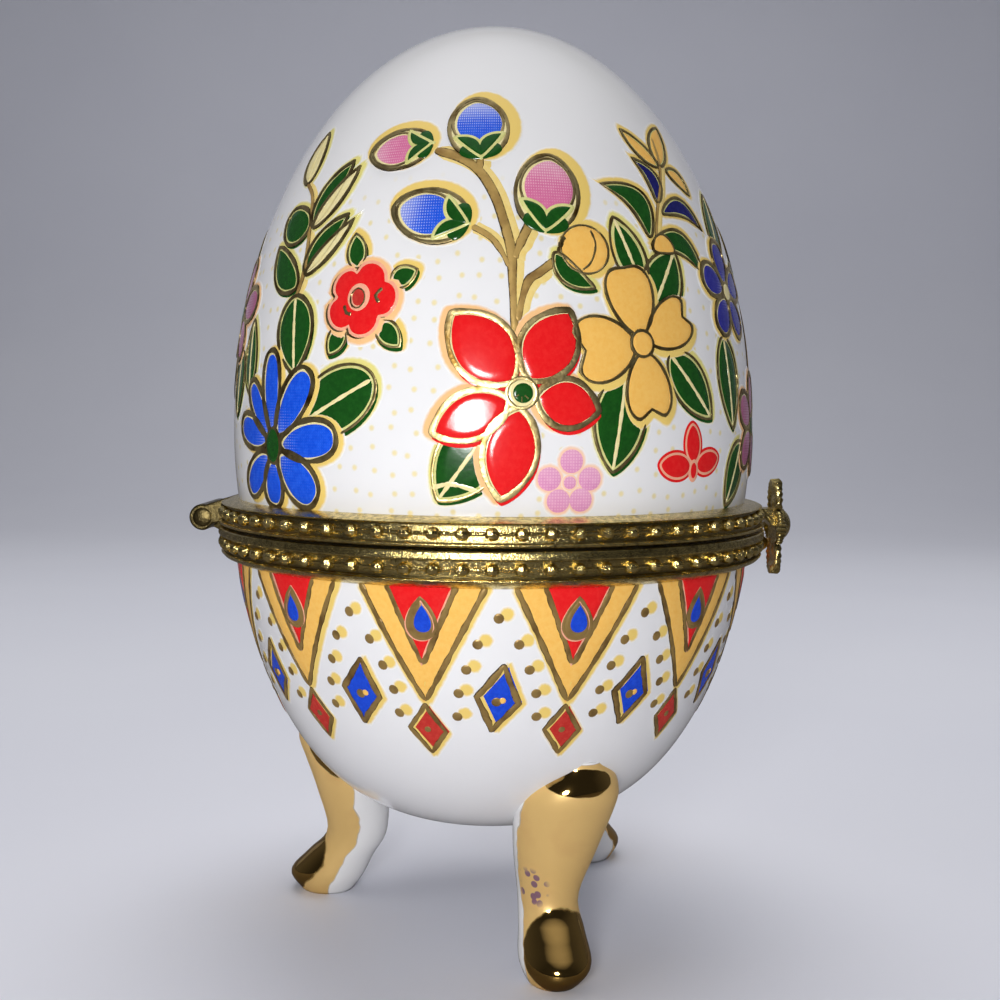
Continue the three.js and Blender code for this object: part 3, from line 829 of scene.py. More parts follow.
PRINT_COLOURS = {
    "red": ("#EA1A1E", "#EE2A28"),
    "brick": ("#C2302A", "#D04438"),
    "blue": ("#1544CC", "#1F55DE"),
    "amber": ("#FDC868", "#FABD58"),
    "salmon": ("#F8A98B", "#F9BC98"),
}
GOLD_BROWN = "#A98A50"
GOLD_WORN = "#75582C"
# Dark brown painted along the edges of the raised gold lines as shade.
GOLD_EDGE_SHADE = "#33220F"
GOLD_PATCH = 2.2
GOLD_GRAIN = 0.35
BROWN_METAL = 0.4

film_blanks = {}
films = {}
egg_heights = np.linspace(FLOOR_CLEARANCE, LID_CROWN, EGG_SAMPLES)
egg_radii = np.where(egg_heights < SEAM, cup_radius(egg_heights), lid_radius(egg_heights))
egg_lengths = np.concatenate(([0], np.cumsum(np.hypot(np.diff(egg_heights), np.diff(egg_radii)))))
egg_slope = np.gradient(egg_radii, egg_lengths), np.gradient(egg_heights, egg_lengths)


def on_egg(anchor, flat, lift):
    """Points drawn flat round an anchor (turn in degrees, height, extra lift), wrapped on the egg."""
    turn, height, above = anchor
    lift = np.where(lift > GROUND_EDGE_LIFT, lift + above, lift)
    length = np.interp(height, egg_heights, egg_lengths) + flat[..., 1]
    radius = np.interp(length, egg_lengths, egg_radii)
    rise = np.interp(length, egg_lengths, egg_heights) - lift * np.interp(length, egg_lengths, egg_slope[0])
    angle = math.radians(turn) + flat[..., 0] / radius
    out = radius + lift * np.interp(length, egg_lengths, egg_slope[1])
    return np.stack((out * np.sin(angle), -out * np.cos(angle), rise), axis=-1)


def petal(root, tip, width, blunt=(0.8, 0.8), notch=0.0, bend=0.0, columns=COLUMNS):
    """Outline of a petal or leaf with its middle, root and tip; low blunt values round an end."""
    root, tip = np.array(root, float), np.array(tip, float)
    length = np.hypot(*(tip - root))
    axis = (tip - root) / length
    side = np.array([-axis[1], axis[0]])
    t = (1 - np.cos(np.linspace(0, math.pi, columns // 2 + 1))) / 2
    peak = blunt[0] / sum(blunt)
    half = width / 2 * (t / peak) ** blunt[0] * ((1 - t) / (1 - peak)) ** blunt[1]
    t = np.concatenate((t, t[-2:0:-1]))
    half = np.concatenate((half, -half[-2:0:-1]))
    along = t * length - notch * np.exp(-((half / (0.2 * width)) ** 2)) * (t > peak)
    across = half + 4 * bend * t * (1 - t)
    outline = root + along[:, None] * axis + across[:, None] * side
    return outline, root + peak * length * axis + 4 * bend * peak * (1 - peak) * side, root, tip


def polygon(corners, columns=COLUMNS):
    """Outline with straight sides through clockwise corners, evenly many points on each side."""
    corners = np.array(corners, float)
    parts = np.arange(columns) * len(corners) / columns
    first = parts.astype(int)
    ahead = corners[(first + 1) % len(corners)]
    outline = corners[first] + (ahead - corners[first]) * (parts - first)[:, None]
    low, high = corners[np.argmin(corners[:, 1])], corners[np.argmax(corners[:, 1])]
    return outline, corners.mean(axis=0), low, high


def disc(middle, across, columns=COLUMNS, tall=1.0):
    x, y = middle
    half = across * tall / 2
    return petal((x, y - half), (x, y + half), across, (0.5, 0.5), columns=columns)


def grown(shape, grow):
    """The shape's outline moved outwards by about that many mm, along rays from its middle."""
    outline, middle = shape[:2]
    step = np.roll(outline, -1, axis=0) - np.roll(outline, 1, axis=0)
    arm = outline - middle
    reach = np.hypot(arm[:, 0], arm[:, 1])
    square = np.abs(step[:, 0] * arm[:, 1] - step[:, 1] * arm[:, 0]) / np.hypot(step[:, 0], step[:, 1])
    scale = 1 + grow / np.maximum(np.maximum(square, 0.45 * reach), 1e-3)
    return middle + arm * np.clip(scale, 0.12, None)[:, None]


def lay(colour, anchor, flat, lift, root, tip):
    """Notes one film: rows of flat points with their lift, and how far each is from root to tip."""
    axis = tip - root
    along = ((flat - root) @ axis) / (axis @ axis)
    films.setdefault(colour, []).append((on_egg(anchor, flat, lift), along))


def film(colour, anchor, shape, grow=0.0, lift=COLOUR_LIFT, feather=FILM_EDGE, slip=(0, 0), edge_lift=None):
    """A filled shape, with a feathered outermost ring."""
    inner, outer = grown(shape, grow), grown(shape, grow + feather)
    rows = [shape[1] + (inner - shape[1]) * part for part in FILM_PARTS]
    rows = np.array(rows + [outer]) + np.array(slip)
    rows = np.concatenate((rows, rows[:, :1]), axis=1)
    lifts = np.full(rows.shape[:2], lift)
    lifts[-1] = lift * 0.5 if edge_lift is None else edge_lift
    lay(colour, anchor, rows, lifts, shape[2], shape[3])


def ground(colour, anchor, shape, grow=0.2, slip=(0, 0)):
    film(colour, anchor, shape, grow, GROUND_LIFT, FEATHER, slip, GROUND_EDGE_LIFT)


def waver(anchor, count, pace=1.0):
    """The uneven pressure of a printed line, as a factor for its width."""
    t = np.linspace(0, 2 * math.pi * pace, count)
    slow, quick = np.sin(3 * t + anchor[0]), np.sin(7 * t + anchor[1])
    return 1 + 0.13 * slow + 0.09 * quick + 0.06 * np.sin(11 * t + 3 * anchor[1])


def line(anchor, shape, width, lift=LINE_LIFT, slip=(0, 0)):
    """A raised half-round gold line round a shape."""
    half = width / 2 * waver(anchor, len(shape[0]))
    half[-1] = half[0]
    rows = np.array([grown(shape, side * half) for side, rise in HALF_ROUND]) + np.array(slip)
    rows = np.concatenate((rows, rows[:, :1]), axis=1)
    lifts = np.repeat([[lift * rise] for side, rise in HALF_ROUND], rows.shape[1], axis=1)
    lay("gold", anchor, rows, lifts, shape[2], shape[3])


def stroke(colour, anchor, path, width, lift, slip=(0, 0), straight=False, pace=1.0):
    """A raised half-round line along a path, with rounded ends."""
    path = np.array(path, float)
    spine = flowing(path, COLUMNS + 1)
    if straight:
        marks = np.linspace(0, len(path) - 1, COLUMNS + 1)
        spine = np.stack([np.interp(marks, range(len(path)), path[:, i]) for i in (0, 1)], axis=1)
    step = np.gradient(spine, axis=0)
    side = np.stack((-step[:, 1], step[:, 0]), axis=1) / np.hypot(step[:, 0], step[:, 1])[:, None]
    t = np.linspace(0, 1, COLUMNS + 1)
    ends = np.sqrt(np.clip(np.minimum(t, 1 - t) / STROKE_END, 0, 1))
    half = width / 2 * ends * waver(anchor, COLUMNS + 1, pace)
    rows = np.array([spine + side * (half * s)[:, None] for s, rise in HALF_ROUND]) + np.array(slip)
    lifts = np.array([lift * rise * np.clip(ends, 0.3, 1) for s, rise in HALF_ROUND])
    lay(colour, anchor, rows, lifts, path[0], path[-1])


def film_blank(columns, rows):
    """A flat grid that films of that size are copied from, and the column and row of each of its points."""
    if (columns, rows) not in film_blanks:
        grid = {"x_subdivisions": columns, "y_subdivisions": rows, "size": 1}
        sheet = started("film_blank", bpy.ops.mesh.primitive_grid_add, **grid)
        flat = points_of(sheet)
        column = np.rint((flat[:, 0] + 0.5) * columns).astype(int)
        row = np.rint((flat[:, 1] + 0.5) * rows).astype(int)
        corners = np.zeros(len(sheet.data.loops), int)
        sheet.data.loops.foreach_get("vertex_index", corners)
        film_blanks[columns, rows] = sheet, column, row, corners
    return film_blanks[columns, rows]


def fire(name, sheets):
    """All the films of one colour as one piece, given a thickness that reaches into the glaze."""
    parts = []
    for spots, along in sheets:
        rows, columns = along.shape
        sheet, column, row, corners = film_blank(columns - 1, rows - 1)
        part = copied(sheet, spots[row, column] * MM)
        print_place = np.stack((along[row, column], row / (rows - 1)), axis=1)
        part.data.uv_layers[0].data.foreach_set("uv", print_place[corners].ravel())
        parts.append(part)
    piece = joined(name, parts)
    edit((bpy.ops.mesh.remove_doubles, {"threshold": 1e-7}))
    depth = piece.modifiers.new("film_thickness", "SOLIDIFY")
    depth.thickness = FILM_THICKNESS * MM
    depth.offset = -1
    bpy.ops.object.modifier_apply(modifier=depth.name)
    bpy.ops.object.shade_smooth_by_angle(angle=math.radians(FILM_SMOOTH))
    return piece


def fired_colour(name, deep, mottled, pale=None, pale_from=0.0, pale_to=0.0):
    # Onglaze colour fused to the glaze: glossy and strong, mottled, its pale end broken up by a halftone.
    finish, tree, enamel = new_finish(name)
    spot = wire(tree, "TexCoord")
    place = spot.outputs["Object"]
    speckle = {"Vector": place, "Scale": 1 / (PRINT_GRAIN * MM), "Detail": 4, "Roughness": 0.65}
    grain = wire(tree, "TexNoise", speckle)
    mottle = wire(tree, "MapRange", {0: grain, 1: 0.4, 2: 0.75})
    tint = wire(tree, "Mix", {0: mottle, 6: paint(deep), 7: paint(mottled)}, data_type="RGBA")
    if pale:
        print_place = wire(tree, "SeparateXYZ", {0: spot.outputs["UV"]})
        fade = wire(tree, "MapRange", {0: print_place.outputs["X"], 1: pale_from, 2: pale_to})
        ruling = {"Vector": unrolled(tree), "Scale": WAVE_PERIOD / (HALFTONE_PITCH * MM)}
        upright = wire(tree, "TexWave", ruling).outputs["Fac"]
        level = wire(tree, "TexWave", ruling, bands_direction="Y").outputs["Fac"]
        screen = wire(tree, "Math", {0: upright, 1: level}, operation="MULTIPLY")
        open_dots = wire(tree, "Math", {0: screen, 1: 0.6, 2: fade}, operation="MULTIPLY_ADD")
        bare = wire(tree, "MapRange", {0: open_dots, 1: 0.5, 2: 1.3})
        tint = wire(tree, "Mix", {0: bare, 6: tint, 7: paint(pale)}, data_type="RGBA")
    skin = wire(tree, "Bump", {"Height": grain, "Strength": 0.08, "Distance": GRAIN_DEPTH * MM})
    wire(tree, enamel, {"Base Color": tint, "Roughness": 0.16, "IOR": 1.5, "Normal": skin})
    return finish


def feathered_ground(name, colour):
    # A wash of colour under the gold: full under the motif and thinning out to the white glaze round it.
    finish, tree, wash = new_finish(name)
    spot = wire(tree, "TexCoord")
    across = wire(tree, "SeparateXYZ", {0: spot.outputs["UV"]}).outputs["Y"]
    grain = wire(tree, "TexNoise", {"Vector": spot.outputs["Object"], "Scale": 1 / (PRINT_GRAIN * MM)})
    rough_edge = wire(tree, "Math", {0: grain, 1: 0.1, 2: across}, operation="MULTIPLY_ADD")
    thin = wire(tree, "MapRange", {0: rough_edge, 1: 0.88, 2: 1.04}, interpolation_type="SMOOTHSTEP")
    tint = wire(tree, "Mix", {0: thin, 6: paint(colour), 7: paint(GLAZE_WHITE)}, data_type="RGBA")
    wire(tree, wash, {"Base Color": tint, "Roughness": 0.12, "IOR": 1.5})
    return finish


def fired_gold(name, bright, worn, shade_edges, metallic=1.0):
    # Raised gold paste: a soft metal sheen, worn and grainy, with painted shade along both edges of the
    # line, where its rounded sides turn from the light.
    finish, tree, metal = new_finish(name)
    spot = wire(tree, "TexCoord")
    place = spot.outputs["Object"]
    rubbing = wire(tree, "TexNoise", {"Vector": place, "Scale": 1 / (GOLD_PATCH * MM), "Detail": 5})
    thin = wire(tree, "MapRange", {0: rubbing, 1: 0.45, 2: 0.7})
    tint = wire(tree, "Mix", {0: thin, 6: paint(bright), 7: paint(worn)}, data_type="RGBA")
    grain = wire(tree, "TexNoise", {"Vector": place, "Scale": 1 / (GOLD_GRAIN * MM), "Detail": 3})
    # When asked, a ragged dark brown band of painted shade is laid along each edge of the line, across its
    # width.
    if shade_edges:
        across = wire(tree, "SeparateXYZ", {0: spot.outputs["UV"]}).outputs["Y"]
        aside = wire(tree, "Math", {0: across, 1: 0.5}, operation="SUBTRACT")
        aside = wire(tree, "Math", {0: aside}, operation="ABSOLUTE")
        ragged = wire(tree, "Math", {0: grain, 1: 0.22, 2: aside}, operation="MULTIPLY_ADD")
        edge_shade = wire(tree, "MapRange", {0: ragged, 1: 0.31, 2: 0.39})
        tint = wire(tree, "Mix", {0: edge_shade, 6: tint, 7: paint(GOLD_EDGE_SHADE)}, data_type="RGBA")
    dull = wire(tree, "MapRange", {0: grain, 1: 0.3, 2: 0.7, 3: 0.32, 4: 0.44})
    skin = wire(tree, "Bump", {"Height": grain, "Strength": 0.3, "Distance": GRAIN_DEPTH * MM})
    wire(tree, metal, {"Base Color": tint, "Metallic": metallic, "Roughness": dull, "Normal": skin})
    return finish


def to_flat(anchor, turn, height):
    """A place on the egg, as mm across and up from an anchor."""
    level = np.interp([height, anchor[1]], egg_heights, egg_lengths)
    return math.radians(turn - anchor[0]) * np.interp(height, egg_heights, egg_radii), level[0] - level[1]


for k in range(SWAGS):
    swag_turn = SWAG_FIRST + k * 360 / SWAGS
    swag = (swag_turn, SWAG_ANCHOR, 0)
    tops = {}
    for half_turn in (SWAG_HALF_TURN, FIELD_HALF_TURN):
        tops[half_turn] = [to_flat(swag, swag_turn + side * half_turn, SWAG_TOP) for side in (-1, 1)]
    drift = np.array([0.3 * math.sin(2.3 * k + 1), 0.25 * math.cos(1.7 * k)])
    swag_tip = to_flat(swag, swag_turn - 0.5, SWAG_TIP)
    field_tip = to_flat(swag, swag_turn - 0.3, FIELD_TIP)
    band = polygon([*tops[SWAG_HALF_TURN], swag_tip], SWAG_COLUMNS)
    field = polygon([*tops[FIELD_HALF_TURN], field_tip], SWAG_COLUMNS)
    ground("yellow_ground", swag, band, 0.1, (0.25, -0.1))
    film("amber", swag, band, -0.05, 0.045)
    film("salmon", swag, field, -0.05, 0.065)
    film("red", swag, field, -0.3, 0.085, slip=(0.05, 0.25))
    edges = (SWAG_HALF_TURN, swag_tip, 0.6), (FIELD_HALF_TURN, field_tip, 0.64)
    for edge_tops, edge_tip, edge_width in edges:
        for top in tops[edge_tops]:
            stroke("gold", swag, [top, edge_tip], edge_width, LOW_LINE_LIFT, drift * 0.6, True)
    drop_x, drop_y = to_flat(swag, swag_turn, DROP_HEIGHT)
    drop = petal((drop_x, drop_y - 1.6), (drop_x, drop_y + 2.3), 2.7, (0.5, 0.95))
    film("salmon", swag, drop, 0.15, 0.1)
    film("gilt", swag, drop, -0.15, 0.115)
    film("blue", swag, drop, -0.55, 0.13, slip=drift * 0.8)
    line(swag, drop, 0.42, slip=drift * 0.4)
    red_place = (swag_turn - 0.4, RED_LOZENGE_HEIGHT, 0)
    lozenge = polygon(RED_LOZENGE)
    ground("yellow_ground", red_place, lozenge, 0.0, (0.2, -0.2))
    film("brick", red_place, lozenge, -0.15, 0.05, slip=drift + (0.15, -0.2))
    line(red_place, lozenge, 0.55, LOW_LINE_LIFT)
    film("gilt", red_place, disc((0, 0), 0.5, DOT_COLUMNS), 0, EYE_LIFT)
    blue_place = (swag_turn + BETWEEN, BLUE_LOZENGE_HEIGHT, 0)
    lozenge = polygon(BLUE_LOZENGE)
    ground("yellow_ground", blue_place, lozenge, 0.0, (0.45, 0))
    film("blue", blue_place, lozenge, -0.2, 0.05, slip=drift + (0.2, -0.1))
    line(blue_place, lozenge, 0.72, LOW_LINE_LIFT)
    film("gilt", blue_place, disc((-0.1, -0.3), 0.8, DOT_COLUMNS), 0, EYE_LIFT)
    film("amber", blue_place, disc((0.45, -0.15), 0.5, DOT_COLUMNS), 0, EYE_LIFT)
    for dot_turn, dot_height in FALLING_DOTS:
        for side in (-1, 1) if dot_turn else (1,):
            dot = (swag_turn + BETWEEN + side * dot_turn, dot_height, 0)
            ground("yellow_ground", dot, disc((0.75, 0.4), 0.7, DOT_COLUMNS), -0.05)
            film("gilt", dot, disc((0, 0), 0.95, DOT_COLUMNS), -0.1, 0.08, 0.14, edge_lift=0.0)

finishes = {
    "yellow_ground": feathered_ground("yellow_wash_on_glaze", "#F3D274"),
    "gold": fired_gold("raised_brown_gold_line", GOLD_BROWN, GOLD_WORN, True, BROWN_METAL),
    "gilt": fired_gold("flat_brown_gold", GOLD_BROWN, GOLD_WORN, False, BROWN_METAL),
}
for colour, (deep, mottled) in PRINT_COLOURS.items():
    finishes[colour] = fired_colour("fired_" + colour + "_onglaze", deep, mottled)
for colour, sheets in films.items():
    border = fire("cup_border_" + colour, sheets)
    wear(border, finishes[colour])
    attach(border, "base")
films.clear()

# The lid's flowers are the same kind of transfer: a wash of yellow or peach under each motif, flat fired
# colours, and raised gold lines printed over them a little out of register. The back has the same spray.
OVER = 0.12
STALK_GOLD = "#D0AC64"
STALK_WORN = "#A07C44"
STALK_METAL = 0.35
STALK_PACE = 0.3
GOLD_BRIGHT = "#FAE2A0"
GOLD_RUBBED = "#8E6C34"
LOBE_HALF_TURN = 38
LOBED_COLUMNS = 60
NEXT_PETAL = 0.002
FLOWER_EYE_LIFT = 0.15


def aimed(aim):
    return np.array([math.cos(math.radians(aim)), math.sin(math.radians(aim))])


def lobed(lobes, near):
    """Outline of a flat flower with round lobes, each with its aim in degrees and its reach."""
    turns = np.linspace(360, 0, LOBED_COLUMNS, endpoint=False)
    reach = np.full(LOBED_COLUMNS, float(near))
    for aim, far in lobes:
        apart = np.abs((turns - aim + 180) % 360 - 180) / LOBE_HALF_TURN
        reach = np.maximum(reach, near + (far - near) * np.sqrt(np.clip(1 - apart ** 2, 0, None)))
    outline = np.stack((reach * np.cos(np.radians(turns)), reach * np.sin(np.radians(turns))), axis=1)
    return outline, np.zeros(2), np.array([0, -lobes[0][1]]), np.array([0, lobes[0][1]])


def blossom(anchor, petals, colour, wash, near, blunt, inset, line_width, wash_slip=(0, 0)):
    """Petals round a middle: each is its aim in degrees, the distance of its tip and its width."""
    for k, (aim, far, width) in enumerate(petals):
        shape = petal(near * aimed(aim), far * aimed(aim), width, blunt)
        ground(wash, anchor, shape, 0.2, wash_slip)
        film("cream", anchor, shape, -0.2, 0.045 + NEXT_PETAL * k)
        film(colour, anchor, shape, -inset, COLOUR_LIFT + 0.012 + NEXT_PETAL * k, slip=(0.06, -0.04))
        line(anchor, shape, line_width)


def eye(anchor, colour, across, ring, ring_width, tall=1.0, lift=LINE_LIFT):
    """The middle of a flower, with a gold ring round it."""
    film(colour, anchor, disc((0, 0), across, tall=tall), 0, FLOWER_EYE_LIFT)
    line(anchor, disc((0, 0), ring, tall=tall), ring_width, lift)


def leaf(anchor, root, tip, width, colour="green", bend=0.0, rib=0.42, inset=0.42, wash="lime_ground",
         blunt=(0.62, 0.8), line_width=0.34, edge="green"):
    """A leaf: its wash, an edge out of register, a pale band, its colour, a middle rib and a gold line."""
    root, tip = np.array(root, float), np.array(tip, float)
    shape = petal(root, tip, width, blunt, bend=bend)
    ground(wash, anchor, shape, 0.15, (0.15, 0.1))
    if edge:
        film(edge, anchor, shape, 0.08, 0.037, slip=(0.16, -0.24))
    film("lime", anchor, shape, 0.0, 0.052)
    film(colour, anchor, shape, -inset, 0.075)
    if rib:
        side = np.array([root[1] - tip[1], tip[0] - root[0]]) / np.hypot(*(tip - root))
        path = [root + (tip - root) * t + 4 * bend * t * (1 - t) * side for t in (0.02, 0.35, 0.65, 0.98)]
        stroke("cream", anchor, path, rib, 0.12)
    line(anchor, shape, line_width)


def bud(anchor, tip, end, width, colour, wash_slip):
    """A closed bud: a bloom in its dark outline, and a green calyx with two sepals at the stalk."""
    tip, end = np.array(tip, float), np.array(end, float)
    axis = tip - end
    side = np.array([-axis[1], axis[0]]) / np.hypot(*axis)
    whole = petal(end, tip, width, (0.5, 0.58))
    ground("yellow_ground", anchor, whole, 0.3, wash_slip)
    film("cream", anchor, whole, -0.1, 0.05)
    bloom = petal(end + 0.2 * axis, tip - 0.05 * axis, width * 0.86, (0.5, 0.6))
    film(colour, anchor, bloom, -0.32, 0.07, slip=(0.12, 0))
    line(anchor, bloom, 0.3)
    line(anchor, whole, 0.44)
    film("green", anchor, petal(end - 0.02 * axis, end + 0.24 * axis, width * 0.7, (0.5, 0.5)), 0, 0.15)
    for hand in (-1, 1):
        sepal_tip = end + 0.34 * axis + hand * 0.37 * width * side
        sepal = petal(end + 0.02 * axis, sepal_tip, width * 0.2, bend=-0.4 * hand)
        film("lime", anchor, sepal, 0.22, 0.16)
        film("green", anchor, sepal, -0.04, 0.18)


def stem(anchor, path, width):
    """A gold stalk over a yellow wash that slipped to the right."""
    stroke("stalk_yellow", anchor, path, width + 0.5, 0.05, (0.38, -0.1), pace=STALK_PACE)
    stroke("stalk_gold", anchor, path, width, 0.12, pace=STALK_PACE)


# Buds and their stalks, rising from the red flower
stalk_foot = (3.8, 65.2, 0)
main_stalk = [
    (0.2, -2.5), (0, 0), (-0.1, 3), (-0.2, 6.2), (-1, 9.7), (-1.8, 12.1), (-3, 14.2), (-4.8, 15.7),
    (-7.6, 16.8),
]
stem(stalk_foot, main_stalk, 1.0)
stem(stalk_foot, [(-3, 14), (-2.9, 15.2), (-2.8, 16.6)], 0.8)
stem(stalk_foot, [(-0.3, 4.6), (-1.9, 7.3), (-4.6, 9)], 0.65)
stem(stalk_foot, [(0, 5.4), (0.9, 7.5), (1.8, 9.4)], 0.95)
stem(stalk_foot, [(0.2, -0.6), (1.2, 3.1), (2.4, 4.2), (4.2, 5.6)], 0.9)
bud((-23.8, 81.7, OVER), (-2.9, -0.9), (3.3, -0.1), 4.4, "pink_bud", (0.1, 0.5))
bud((-3.1, 83.2, OVER), (-0.8, 3.6), (0, -3.5), 5.5, "blue_bud", (0.6, 0.4))
bud((-13.7, 75.0, OVER), (-3.5, 0.5), (3.7, -1.4), 5.2, "blue_bud", (0.2, 0.4))
bud((12.1, 76.8, OVER), (0.2, 4.0), (-0.8, -3.9), 5.9, "pink_bud", (0.65, 0.25))

# The round yellow bud beside them, half hidden by a leaf
yellow_bud = (18.4, 71.3, OVER / 2)
round_bud = disc((0, 0.3), 4.7)
ground("yellow_ground", yellow_bud, round_bud, 0.25, (0.35, 0.1))
film("amber", yellow_bud, round_bud, -0.1)
line(yellow_bud, round_bud, 0.24)
stroke("gold", yellow_bud, [(0.7, 2.3), (1.1, 0.8), (0.5, -0.9), (-0.5, -1.8)], 0.24, LOW_LINE_LIFT)
stroke("gold", yellow_bud, [(-1.9, 1.5), (-2.3, 0.6), (-2.6, -0.2)], 0.5, LOW_LINE_LIFT)
leaf(yellow_bud, (-3.0, -0.2), (0.6, -3.4), 2.0, rib=0, bend=-0.6, inset=0.3)

# The large red flower, its leaf, and the small printed pink one under it
red_leaf = (5.2, 58.4, 0)
red_flower = (5.2, 58.4, OVER)
red_blunt = (0.74, 0.8)
leaf(red_leaf, (-2.6, -2.8), (-7.5, -9.7), 5.8)
stroke("cream", red_leaf, [(-8.2, -8.6), (-6.2, -8.2), (-3.6, -8.9)], 0.5, 0.13)
red_petals = [(131, 9.5, 5.7), (60, 8.7, 5.3), (-12, 7.3, 4.5), (-101, 9.7, 4.9), (-156, 8.8, 4.3)]
for aim, far, width in red_petals:
    under = petal(1.3 * aimed(aim), far * aimed(aim), width, red_blunt)
    film("red", red_flower, under, 0.05, 0.038, slip=(0.12, -0.46))
blossom(red_flower, red_petals, "red", "peach_ground", 1.3, red_blunt, 0.38, 0.66, (-0.3, 0.1))
eye(red_flower, "cream", 2.7, 2.7, 0.42, lift=0.22)
film("green", red_flower, disc((0.1, 0), 1.75), 0, 0.17)
for aim in (-150, -90, -40):
    stroke("gold", red_flower, [0.3 * aimed(aim), 0.8 * aimed(aim)], 0.22, 0.22)
pink_flower = (14.3, 50.4, 0)
for aim in (86, 10, -55, -121, 170):
    shape = disc(1.95 * aimed(aim), 2.15)
    ground("pink_ground", pink_flower, shape, -0.1)
    film("pink_print", pink_flower, shape, -0.1, 0.045, 0.12)
film("pink_ground", pink_flower, disc((0, 0), 1.4), 0, 0.05)
film("pink_print", pink_flower, disc((0, 0), 1.1), 0, 0.065)

# The yellow flower with notched petals, and the leaves round it
yellow_flower = (29.3, 63.1, OVER)
leaf((25.1, 58.6, 0), (0.2, 1.6), (-1.2, -7.3), 5.4)
leaf((38.2, 61.1, 0), (-1.0, 1.2), (4.9, -4.8), 4.6)
leaf((29.8, 70.0, 0), (0.4, -1.6), (-1.7, 5.1), 3.6, inset=0.55)
leaf((33.6, 67.5, 0), (-0.4, -1.2), (3.5, 4.9), 4.8)
curl_place = (33.6, 67.5, OVER / 2)
curl = petal((0.7, 4.9), (3.5, 5.0), 1.9, (0.5, 0.5), bend=0.5)
film("amber", curl_place, curl, 0, 0.1)
line(curl_place, curl, 0.3)
yellow_petals = [(100, 7.4, 5.1, 0.2), (-172, 7.1, 6.1, 1.1), (-82, 7.2, 5.1, 1.1), (28, 7.1, 4.7, 1.1)]
for aim, far, width, notch in yellow_petals:
    shape = petal(0.8 * aimed(aim), far * aimed(aim), width, (0.6, 0.34), notch)
    ground("yellow_ground", yellow_flower, shape, 0.2, (0.25, -0.3))
    film("amber", yellow_flower, shape, -0.06, slip=(-0.12, 0.06))
    line(yellow_flower, shape, 0.34)
eye(yellow_flower, "amber", 2.2, 2.4, 0.38, lift=0.2)

# The small red flower with three petals, printed without gold
small_red = (42.6, 51.6, 0)
for aim, far, width in ((94, 4.3, 2.5), (176, 4.7, 2.7), (12, 4.4, 2.5)):
    shape = petal(0.3 * aimed(aim), far * aimed(aim), width, (0.55, 0.62))
    film("red", small_red, shape, 0.12, 0.04)
    film("salmon", small_red, shape, -0.1, 0.055)
    film("red", small_red, shape, -0.32, 0.07)
film("salmon", small_red, disc((0, -0.3), 1.3, tall=1.6), 0.0, 0.085)
film("red", small_red, disc((0, -0.3), 0.8, tall=1.8), 0, 0.1)

# The fern above the yellow flower, with curled leaves
fern = (35.3, 73.0, 0)
stem(fern, [(0, -1.5), (1.6, 3.2), (3.2, 6.4), (4.2, 9.2), (4.6, 12.4)], 0.4)
for root, tip, width, colour, bend in (
    ((3.7, 8.4), (0.1, 12.2), 1.9, "amber", 0.2), ((4, 8.6), (6.7, 13.9), 2.5, "amber", 0.3),
    ((5, 8.3), (8.2, 6.0), 1.8, "amber", 0.4), ((2.1, 4.2), (0.3, 8.8), 1.9, "navy", -1.0),
    ((2.3, 3.2), (8.7, 2.2), 2.0, "navy", 1.4), ((0, 0.4), (-4.4, 5.4), 2.7, "green", -1.8),
    ((-0.1, -0.4), (7.2, -2.8), 2.5, "green", 1.8),
):
    leaf(fern, root, tip, width, colour, bend, 0, 0.34, "yellow_ground", line_width=0.36, edge=None)

# The spray on the left: a stalk with paired leaves, and a red rosette beside it
left_spray = (-44.3, 67.7, 0)
left_over = (-44.3, 67.7, OVER / 2)
stem(left_spray, [(0, -0.5), (0.6, 2.5), (-0.1, 6.8), (-1.3, 10.3), (-3.6, 12.4)], 0.6)
leaf(left_spray, (-3.2, 12.0), (-3.5, 18.2), 2.9, "cream", 0.3, 0.3, 0.3, edge=None, line_width=0.5)
leaf(left_spray, (0.2, 7.0), (3.2, 13.6), 2.7, "green", 0.3, 0, line_width=0.5)
leaf(left_over, (0.5, 6.8), (4.3, 12.7), 1.9, "cream", -0.2, 0, 0.2, edge=None, line_width=0.5)
leaf(left_spray, (0.7, 2.3), (4.8, 7.7), 2.5, "green", 0.3, 0, line_width=0.5)
leaf(left_over, (1.0, 2.0), (5.6, 7.0), 1.5, "cream", -0.2, 0, 0.2, edge=None, line_width=0.5)
leaf(left_spray, (-0.3, 6.6), (-4.9, 8.4), 4.0, "green", 0.2, 0, blunt=(0.5, 0.5), line_width=0.5)
leaf(left_spray, (-0.2, 0.7), (-5.1, 5.3), 3.4, "green", 0.5, 0, line_width=0.5)
leaf(left_spray, (0, 0), (1.1, -7.6), 5.2, line_width=0.5)
rosette_leaves = (-26.9, 67.0, 0)
for aim, near, far in ((102, 3.0, 6.5), (25, 3.4, 6.1), (-45, 3.2, 6.4), (-120, 3.0, 6.0)):
    leaf(rosette_leaves, near * aimed(aim), far * aimed(aim), 2.1, rib=0, inset=0.32, wash="yellow_ground",
         line_width=0.26)
rosette = (-26.9, 67.0, OVER)
rose = lobed([(62, 3.6), (-2, 3.9), (-73, 3.6), (-144, 3.6), (138, 3.3)], 2.1)
ground("peach_ground", rosette, rose, 0.35, (0, -0.1))
film("gilt", rosette, rose, 0.12, 0.04, slip=(-0.22, -0.12))
film("salmon", rosette, rose, 0.12, 0.06)
film("red", rosette, rose, -0.16, 0.08)
film("salmon", rosette, disc((0, 0.1), 2.3, tall=1.1), 0, 0.1)
film("brick", rosette, disc((0, 0.1), 1.3, tall=1.2), 0, 0.12)
line(rosette, disc((-0.1, 0), 1.5, tall=1.2), 0.24)
stroke("gold", rosette, [(2.4, 0.9), (1.8, 0.2), (2.2, -0.5)], 0.4, 0.12)
